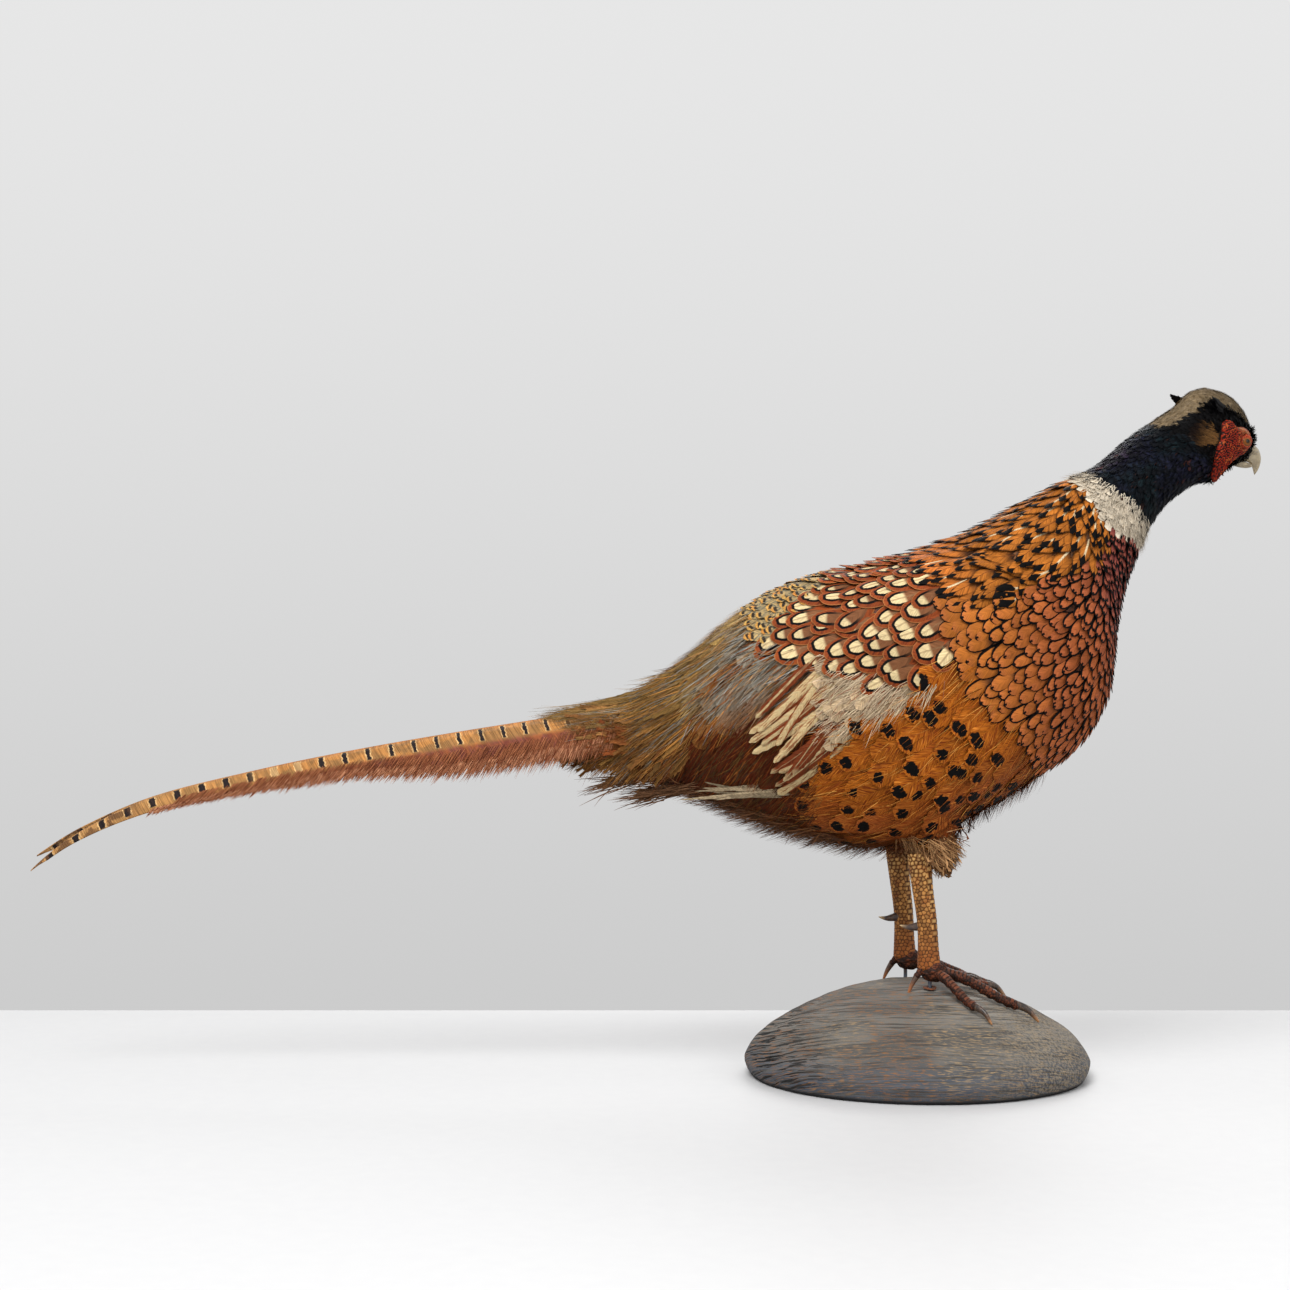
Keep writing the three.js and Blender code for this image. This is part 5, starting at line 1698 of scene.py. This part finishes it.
# %% Turn the dome
DOME = [(107.5, 6), (108, 12), (100, 24), (86, 34), (70, 43), (52, 51), (32, 56.8), (14, 59), (0, 59.5)]
dome_line = smooth_line(DOME, np.linspace(0, 1, 150))


def dome_height(x, y):
    """Height of the dome over a point, in millimetres."""
    return np.interp(np.hypot(x, y), dome_line[::-1, 0], dome_line[::-1, 1])


def slow_waves(points, size, seed):
    """A smooth unevenness between about -1 and 1, from a few waves in different directions."""
    pick = np.random.default_rng(seed)
    total = 0
    for _ in range(6):
        way = unit(pick.normal(0, 1, 3)) / size * pick.uniform(0.6, 1.6)
        total = total + np.sin(points @ way * 2 * np.pi + pick.uniform(0, 6.3))
    return total / 3


profile = np.concatenate([[(0.5, 0), (60, 0), (101, 0), (104.2, 0.4), (105.6, 2), (106.8, 4)], dome_line])
turn = full_turn(400)
ring = table_of(profile[:, :1] * np.cos(turn), profile[:, :1] * np.sin(turn), profile[:, 1:])
lift = slow_waves(ring, 38, 3) * 0.5 + slow_waves(ring, 13, 4) * 0.22
chipped = np.clip(slow_waves(ring, 9, 5) - 0.7, 0, 1) * np.clip((-60 - ring[..., 0]) / 40, 0, 1)
lift = (lift - 1.6 * chipped - 0.6) * np.clip(ring[..., 2] / 3, 0, 1)
outward = unit(ring * (1, 1, 1.6) + (0, 0, 1e-3))
points = (ring + outward * lift[..., None]).reshape(-1, 3) * MM
overhead = ring[..., :2] / 230 * np.where(ring[..., 2:] > 1, 1, 0.2) + 0.5
mound = build_mesh("mound", points, [grid_faces(len(profile), 400, closed=True)], None, overhead.reshape(-1, 2))

# %% Worn paint, a painted sheen and a painted shadow line
worn_group, net, given, result = new_group("worn_grain", ["Tilt"], ("Streaks", "Dashes", "Splits", "Patches"))
x, y, z = net.parts(net.place())
sway = (net.noise(net.vector(x * 10, y * 30, z * 30), 1, 2) - 0.5) * 0.008
layer = z + y * given["Tilt"] + sway
for title, along, across, shift, bent in (("Streaks", 34, 900, 0, 0.2), ("Dashes", 190, 1700, 5, 0.2),
                                          ("Splits", 70, 650, 9, 0.2), ("Patches", 15, 60, y * 15, 0.4)):
    net.put(result[title], net.noise(net.vector(x * along, layer * across, shift), 1, 3, bent))

mound_finish, net = new_finish("worn_blue_grey_paint", 0.72, Specular_IOR_Level=0.2)
wear = net.group(worn_group, {"Tilt": 0.3})
x, y, z = net.parts(net.place())
# A pale patch on the top of the dome by the feet: partly weathered paint, partly a painted sheen where the light
# falls.
wear_and_sheen_near_feet = net.node("VectorMath", {0: net.place(), 1: (0.03, -0.035, 0.05)}, operation="DISTANCE")
wear_and_sheen_near_feet = wear_and_sheen_near_feet["Value"].band(0.005, 0.05, 0.8, 0) * wear["Streaks"].band(0.4, 0.6, 0.1, 0.9)
low_down = z.band(0.010, 0.030, 1, 0) * wear["Streaks"].band(0.35, 0.6, 0.2, 0.9)
rubbed = wear["Dashes"].band(0.52, 0.62, 0, 0.8) * wear["Patches"].band(0.36, 0.55, 0.5, 1)
bare = net.mix(net.cloud(14, 2).band(0.4, 0.6), (136, 92, 54), (158, 134, 100))
right_end = x.band(0.02, 0.075)
stipple = net.cloud(620, 2)
split = wear["Splits"].band(0.53, 0.57) * x.band(-0.095, -0.04, 1, 0)
# The dome is darker and bluer towards the bottom. The last layer is a painted shadow: a dark line round the foot,
# under the rounded edge.
colour = net.laid(net.mix(wear["Patches"].band(0.4, 0.62), (107, 103, 97), (84, 81, 77)),
                  (low_down, (72, 78, 88)), (wear_and_sheen_near_feet, (146, 142, 134)), (rubbed, bare),
                  (wear["Streaks"].band(0.34, 0.5, 0.7, 0), (52, 49, 46)),
                  (right_end * stipple.band(0.48, 0.62, 0, 0.6), (140, 126, 104)),
                  (right_end * stipple.band(0.36, 0.46, 0.5, 0), (52, 50, 48)),
                  (split, (20, 18, 16)), (z.band(0.0012, 0.0035, 1, 0), (30, 30, 31)))
relief = wear["Streaks"] + stipple * 0.4 - split * 1.5
net.looks(colour, relief, 0.9)
dress(mound, "painted_wood", mound_finish, "base")

# %% [markdown]
# ## Legs
#
# The naked leg is covered with horny plates: broad ones in front, a net of small ones elsewhere. The plates are real
# relief. For any place on a wrapped surface a function gives how far it is from the border of its plate, and a
# number for the plate.


# %% Plates and tubes
def random_of(a, b, seed):
    return np.modf(np.abs(np.sin(a * 12.9898 + b * 78.233 + seed) * 43758.5453))[0]


def plates(u, v, period):
    """Distance to the nearest border and a number per plate. u counts plates around and closes after a period."""
    u, v = np.broadcast_arrays(u, v)
    first_u, first_v = np.floor(u), np.floor(v)
    near, second, number = (np.full(u.shape, 9.0) for _ in range(3))
    for dv in (-1, 0, 1):
        for du in (-2, -1, 0, 1):
            cu, cv = first_u + du, first_v + dv
            key = np.mod(cu, period)
            at_u = cu + 0.5 + 0.5 * np.mod(cv, 2) + 0.6 * (random_of(key, cv, 1.0) - 0.5)
            at_v = cv + 0.5 + 0.6 * (random_of(key, cv, 2.0) - 0.5)
            away = np.hypot(u - at_u, v - at_v)
            closer = away < near
            second = np.where(closer, near, np.minimum(second, away))
            number = np.where(closer, random_of(key, cv, 3.0), number)
            near = np.where(closer, away, near)
    return (second - near) / 2, number


def bricks(u, v):
    """The same for a wall of broad plates, one unit wide and one high, every second row shifted by half."""
    row = np.floor(v)
    shifted = u + 0.5 * np.mod(row, 2)
    border = np.minimum(0.5 - np.abs(np.mod(shifted, 1) - 0.5), 0.5 - np.abs(np.mod(v, 1) - 0.5))
    return border, random_of(np.floor(shifted), row, 4.0)


def tube(path, wide, tall, columns, square):
    """Rings of points round a path, outward directions, the path's length up to each ring, and angles round it."""
    ahead = unit(np.gradient(path, axis=0))
    across = unit(np.cross(square, ahead))
    over = np.cross(ahead, across)
    turn = full_turn(columns)
    c, s = np.cos(turn)[None, :, None], np.sin(turn)[None, :, None]
    arm = across[:, None] * c * wide[:, None, None] + over[:, None] * s * tall[:, None, None]
    gone = np.concatenate([[0], np.cumsum(np.linalg.norm(np.diff(path, axis=0), axis=1))])
    return path[:, None] + arm, unit(arm), gone[:, None], np.degrees(turn)[None]


def finish_tube(name, points, values, slot, finish, *nodes):
    down, across = (np.linspace(0.02, 0.98, count) for count in points.shape[:2])
    closed_piece(name, points * MM, values, table_of(across, down[:, None]), slot, finish, *nodes)


# %% Finish of the scaled skin
def scaled_finish(name, skin, plate, pale, joint, rust, low=0.0):
    material, net = new_finish(name, 0.5, Specular_IOR_Level=0.14)
    border, number = net.attribute("border"), net.attribute("number")
    cloud = net.cloud(130, 3)
    rusty = cloud.band(0.5, 0.68, 0, 0.6).most(net.parts(net.place())[2].band(0.068, 0.105, low, 0))
    tone = net.laid(net.mix(number.band(0.1, 0.9), skin, plate),
                    (border.band(0.1, 0.35) * net.attribute("paleness"), pale),
                    (rusty, rust), (border.band(0.03, 0.15, 0.9, 0), joint))
    net.looks(tone, net.cloud(1800, 2), 0.12)
    return material


leg_finish = scaled_finish("leg_scales", (112, 72, 34), (174, 118, 60), (222, 182, 116),
                           (60, 35, 16), (138, 74, 32), 0.8)
toe_finish = scaled_finish("toe_scales", (42, 25, 18), (92, 48, 30), (122, 70, 44),
                           (16, 11, 9), (26, 20, 18))

# %% Shanks
FOOT_HEIGHT, THIGH_BOTTOM, TARSUS_RADIUS = 70, 135, 5.5
LEGS = {"right": (-1, -1, 5), "left": (1, -9, -4)}
TOES = {"outer": (48, 37, 3.1, 12), "middle": (8, 53, 3.5, 13), "inner": (-24, 41, 3.1, 12), "hind": (165, 9, 2.3, 5)}


def leg_ends(name):
    out, hock_x, foot_x = LEGS[name]
    return np.array([hock_x, out * LEG_SPREAD, THIGH_BOTTOM]), np.array([foot_x, out * (LEG_SPREAD + 1), FOOT_HEIGHT])


for name in SIDES:
    top, end = leg_ends(name)
    t = np.linspace(-0.1, 1.06, 270)
    path = top + (end - top) * t[:, None]
    path[:, 0] += 0.8 * np.sin(np.pi * np.clip(t, 0, 1))
    size = TARSUS_RADIUS * (1 + 0.22 * (1 - np.clip(t, 0, 1)) ** 4 + 0.25 * np.clip(t, 0, 1.1) ** 6)
    size = size * np.sqrt(np.clip((1.08 - t) / 0.1, 0.05, 1))
    points, outward, gone, turn = tube(path, size * 0.8, size * 1.08, 104, np.array([1.0, 0, 0]))
    from_front = (turn - 90 + 180) % 360 - 180
    border, number = plates(turn / 360 * 15, gone / 2.4, 15)
    broad, broad_number = bricks(from_front / 60 + 0.25, gone / 3.2 + 0.3 * np.sin(gone / 5))
    front = np.abs(from_front) < 66
    border, number = np.where(front, broad * 0.9, border), np.where(front, broad_number, number)
    relief = 0.34 * np.clip(border / 0.16, 0, 1) ** 0.6 - 0.17 + 0.25 * np.sin(gone / 7.0 + turn / 57)
    paleness = np.where(front, 0.75, np.clip(0.95 - gone / 30, 0.15, 1.0)) * (0.6 + 0.4 * number)
    paleness = paleness * np.clip((66 - gone) / 22, 0.1, 1)
    finish_tube(f"shank_{name}", points + outward * relief[..., None],
                {"border": border, "number": number, "paleness": paleness}, "leg_scales", leg_finish,
                f"tarsus_{name}")

# %% [markdown]
# The toes are thicker at every joint, with broad scutes across the top and soft pads below. They come down from the
# foot and then lie on the dome, so their path is found from its height.


# %% Toes
def toe_path(name, toe, t, lift):
    """Middle line of a toe. t runs from 0 at the foot to 1 at the end of the toe, and past 1 into the claw."""
    heading, length, _, _ = TOES[toe]
    out = LEGS[name][0]
    root = leg_ends(name)[1]
    turn = math.radians(out * heading)
    x, y = root[0] + math.cos(turn) * length * t, root[1] + math.sin(turn) * length * t
    if toe == "hind":
        return table_of(x, y, root[2] + 7 - 12 * t)
    rest = dome_height(x, y) + lift
    ease = np.clip(t / 0.85, 0, 1)
    arch = (root[2] - 1.5) + (rest - (root[2] - 1.5)) * ease * ease * (3 - 2 * ease)
    return table_of(x, y, np.maximum(rest, arch))


UP = np.array([0, 0, 1.0])
for name in SIDES:
    for toe, (heading, length, radius, claw) in TOES.items():
        t = np.linspace(0, 1.03, int(60 + length * 3))
        path = toe_path(name, toe, t, radius + 0.4)
        knobs = sum(np.exp(-((t - at) / 0.07) ** 2) for at in (0.36, 0.66, 0.93))
        size = radius * (1 - 0.2 * t) * (0.98 + 0.13 * knobs) * np.sqrt(np.clip((1.05 - t) / 0.06, 0.05, 1))
        points, outward, gone, turn = tube(path, size, size * 0.94, 44, UP)
        on_top = np.abs(turn - 90) < 62
        border, number = plates(turn / 360 * 11, gone / 1.6, 11)
        border = np.where(on_top, 0.5 - np.abs(np.mod(gone / 2.5, 1) - 0.5), border)
        number = np.where(on_top, random_of(np.floor(gone / 2.5), heading, 5.0), number)
        relief = (0.36 * np.clip(border / 0.2, 0, 1) ** 0.6 - 0.2
                  + 0.3 * np.sin(gone * 1.1 + 1.0) * np.clip(-np.sin(np.radians(turn)), 0, 1))
        reddish = np.clip(1.1 - t, 0.1, 0.9)[:, None] * on_top * (0.4 + 0.6 * number)
        finish_tube(f"toe_{name}_{toe}_skin", points + outward * relief[..., None],
                    {"border": border, "number": number, "paleness": reddish}, "leg_scales", toe_finish,
                    f"toe_{name}_{toe}")
    # The pad in which the toes meet.
    middle = leg_ends(name)[1] + (2.5, 0, -1.5)
    lean = np.linspace(0.05, np.pi - 0.05, 70)[:, None]
    turn = full_turn(90)[None]
    ball = dome(np.eye(3)[[2, 0, 1]], lean, turn)
    border, number = plates(turn / (2 * np.pi) * 20, lean * 4.4, 20)
    relief = 0.35 * np.clip(border / 0.2, 0, 1) ** 0.6 + 0.5 * slow_waves(ball * 10, 8, 6)
    points = middle + ball * (8.2, 6.6, 6.4) + ball * relief[..., None]
    finish_tube(f"foot_pad_{name}", points[:, ::-1], {"border": border[:, ::-1], "number": number[:, ::-1],
                "paleness": 0.3 * number[:, ::-1]}, "leg_scales", toe_finish)

# %% [markdown]
# Claws and spurs are horn: dark at the root, and paler where the tip wears thin.


# %% Claws and spurs
def horn_finish(name, root, tip, start, end):
    material, net = new_finish(name, 0.35, Coat_Weight=0.1, Coat_Roughness=0.3)
    along = net.attribute("along") + (net.cloud(300, 2) - 0.5) * 0.3
    streak = net.cloud(500, 3, 1.0)
    base = net.mix(streak.band(0.4, 0.65), root, (84, 62, 46))
    net.looks(net.mix(along.band(start, end), base, tip), streak, 0.15)
    return material


claw_finish = horn_finish("claw_horn", (38, 29, 24), (150, 104, 62), 0.5, 0.95)
hind_finish = horn_finish("hind_claw_horn", (66, 40, 26), (164, 98, 50), 0.2, 0.9)
spur_finish = horn_finish("spur_horn", (58, 46, 42), (196, 164, 116), 0.6, 1.0)


def horn_piece(name, line, size, finish, node):
    t = np.linspace(0, 1, 46)
    points = tube(smooth_line(line, t), size(t) * 0.85, size(t), 26, UP)[0]
    finish_tube(name, points, {"along": t[:, None]}, "claw_horn", finish, node)


for name, out in HANDS:
    for toe, (heading, length, radius, claw) in TOES.items():
        start, end = 0.97, 1 + radius * 0.2 / length + claw / length
        steps = start + (end - start) * np.array([0, 0.3, 0.6, 0.85, 1])
        lifts = np.array([radius + 0.5, radius + 1.3, radius + 1.0, radius * 0.5 + 0.5, 0.7])
        line = [toe_path(name, toe, at, lift) for at, lift in zip(steps, lifts)]
        if toe == "hind":
            line = [p + (0, 0, -k * 1.4) for p, k in zip(line, (0, 0.2, 0.8, 1.8, 2.6))]
        horn_piece(f"nail_{name}_{toe}", line, lambda t, r=radius: r * 0.78 * (1 - t) ** 0.7 + 0.2,
                   hind_finish if toe == "hind" else claw_finish, f"claw_{name}_{toe}")
    top, end = leg_ends(name)
    at = top + (end - top) * 0.59
    tip = at + (-TARSUS_RADIUS - 10, -out * 5, -0.5)
    bend = at + (tip - at) * 0.6 + (0, 0, -1.2)
    horn_piece(f"spur_{name}_horn", [at, bend, tip], lambda t: 3.6 * (1 - t) ** 1.15 + 0.25, spur_finish,
               f"spur_{name}")

# %% [markdown]
# ## Wires and washer
#
# Iron wires run from the mound up into the soles and hold the bird. A rusty washer lies round the right one.

# %% Iron
iron_finish, net = new_finish("iron_wire", 0.5, Metallic=0.6)
rust = net.cloud(380, 3)
net.looks(net.mix(rust.band(0.5, 0.7), (92, 98, 108), (84, 62, 48)), rust, 0.2)
rusty_finish, net = new_finish("rusty_washer", 0.8)
rust = net.cloud(700, 3)
net.looks(net.mix(rust.band(0.4, 0.65), (120, 66, 34), (48, 28, 20)), rust, 0.4)
for name in SIDES:
    at = leg_ends(name)[1]
    ground = float(dome_height(at[0], at[1]))
    t = np.linspace(0, 1, 90)[:, None]
    path = np.concatenate([at[0] + 0.15 * np.sin(t * 9), at[1] + 0.15 * np.cos(t * 7),
                           ground - 20 + t * (83 - ground)], 1)
    points = tube(path, *np.full((2, 90), 1.2), 20, np.array([1.0, 0, 0]))[0]
    finish_tube(f"leg_wire_{name}", points, {"along": t}, "iron_wire", iron_finish, f"wire_{name}")
    if name == "right":
        turn = full_turn(72)[:, None]
        section = full_turn(16)[None]
        reach = 3.0 + 1.25 * np.sign(np.cos(section)) * np.abs(np.cos(section)) ** 0.5
        level = ground + 0.8 + 0.5 * np.sin(section) + 0.25 * np.sin(2 * turn + 0.6) + 0.15 * reach * np.sin(turn)
        points = table_of(at[0] + reach * np.cos(turn), at[1] + reach * np.sin(turn), level)
        finish_tube("washer_ring", np.concatenate([points, points[:1]]), {"along": np.zeros((73, 1))}, "iron_wire",
                    rusty_finish, "washer_right")
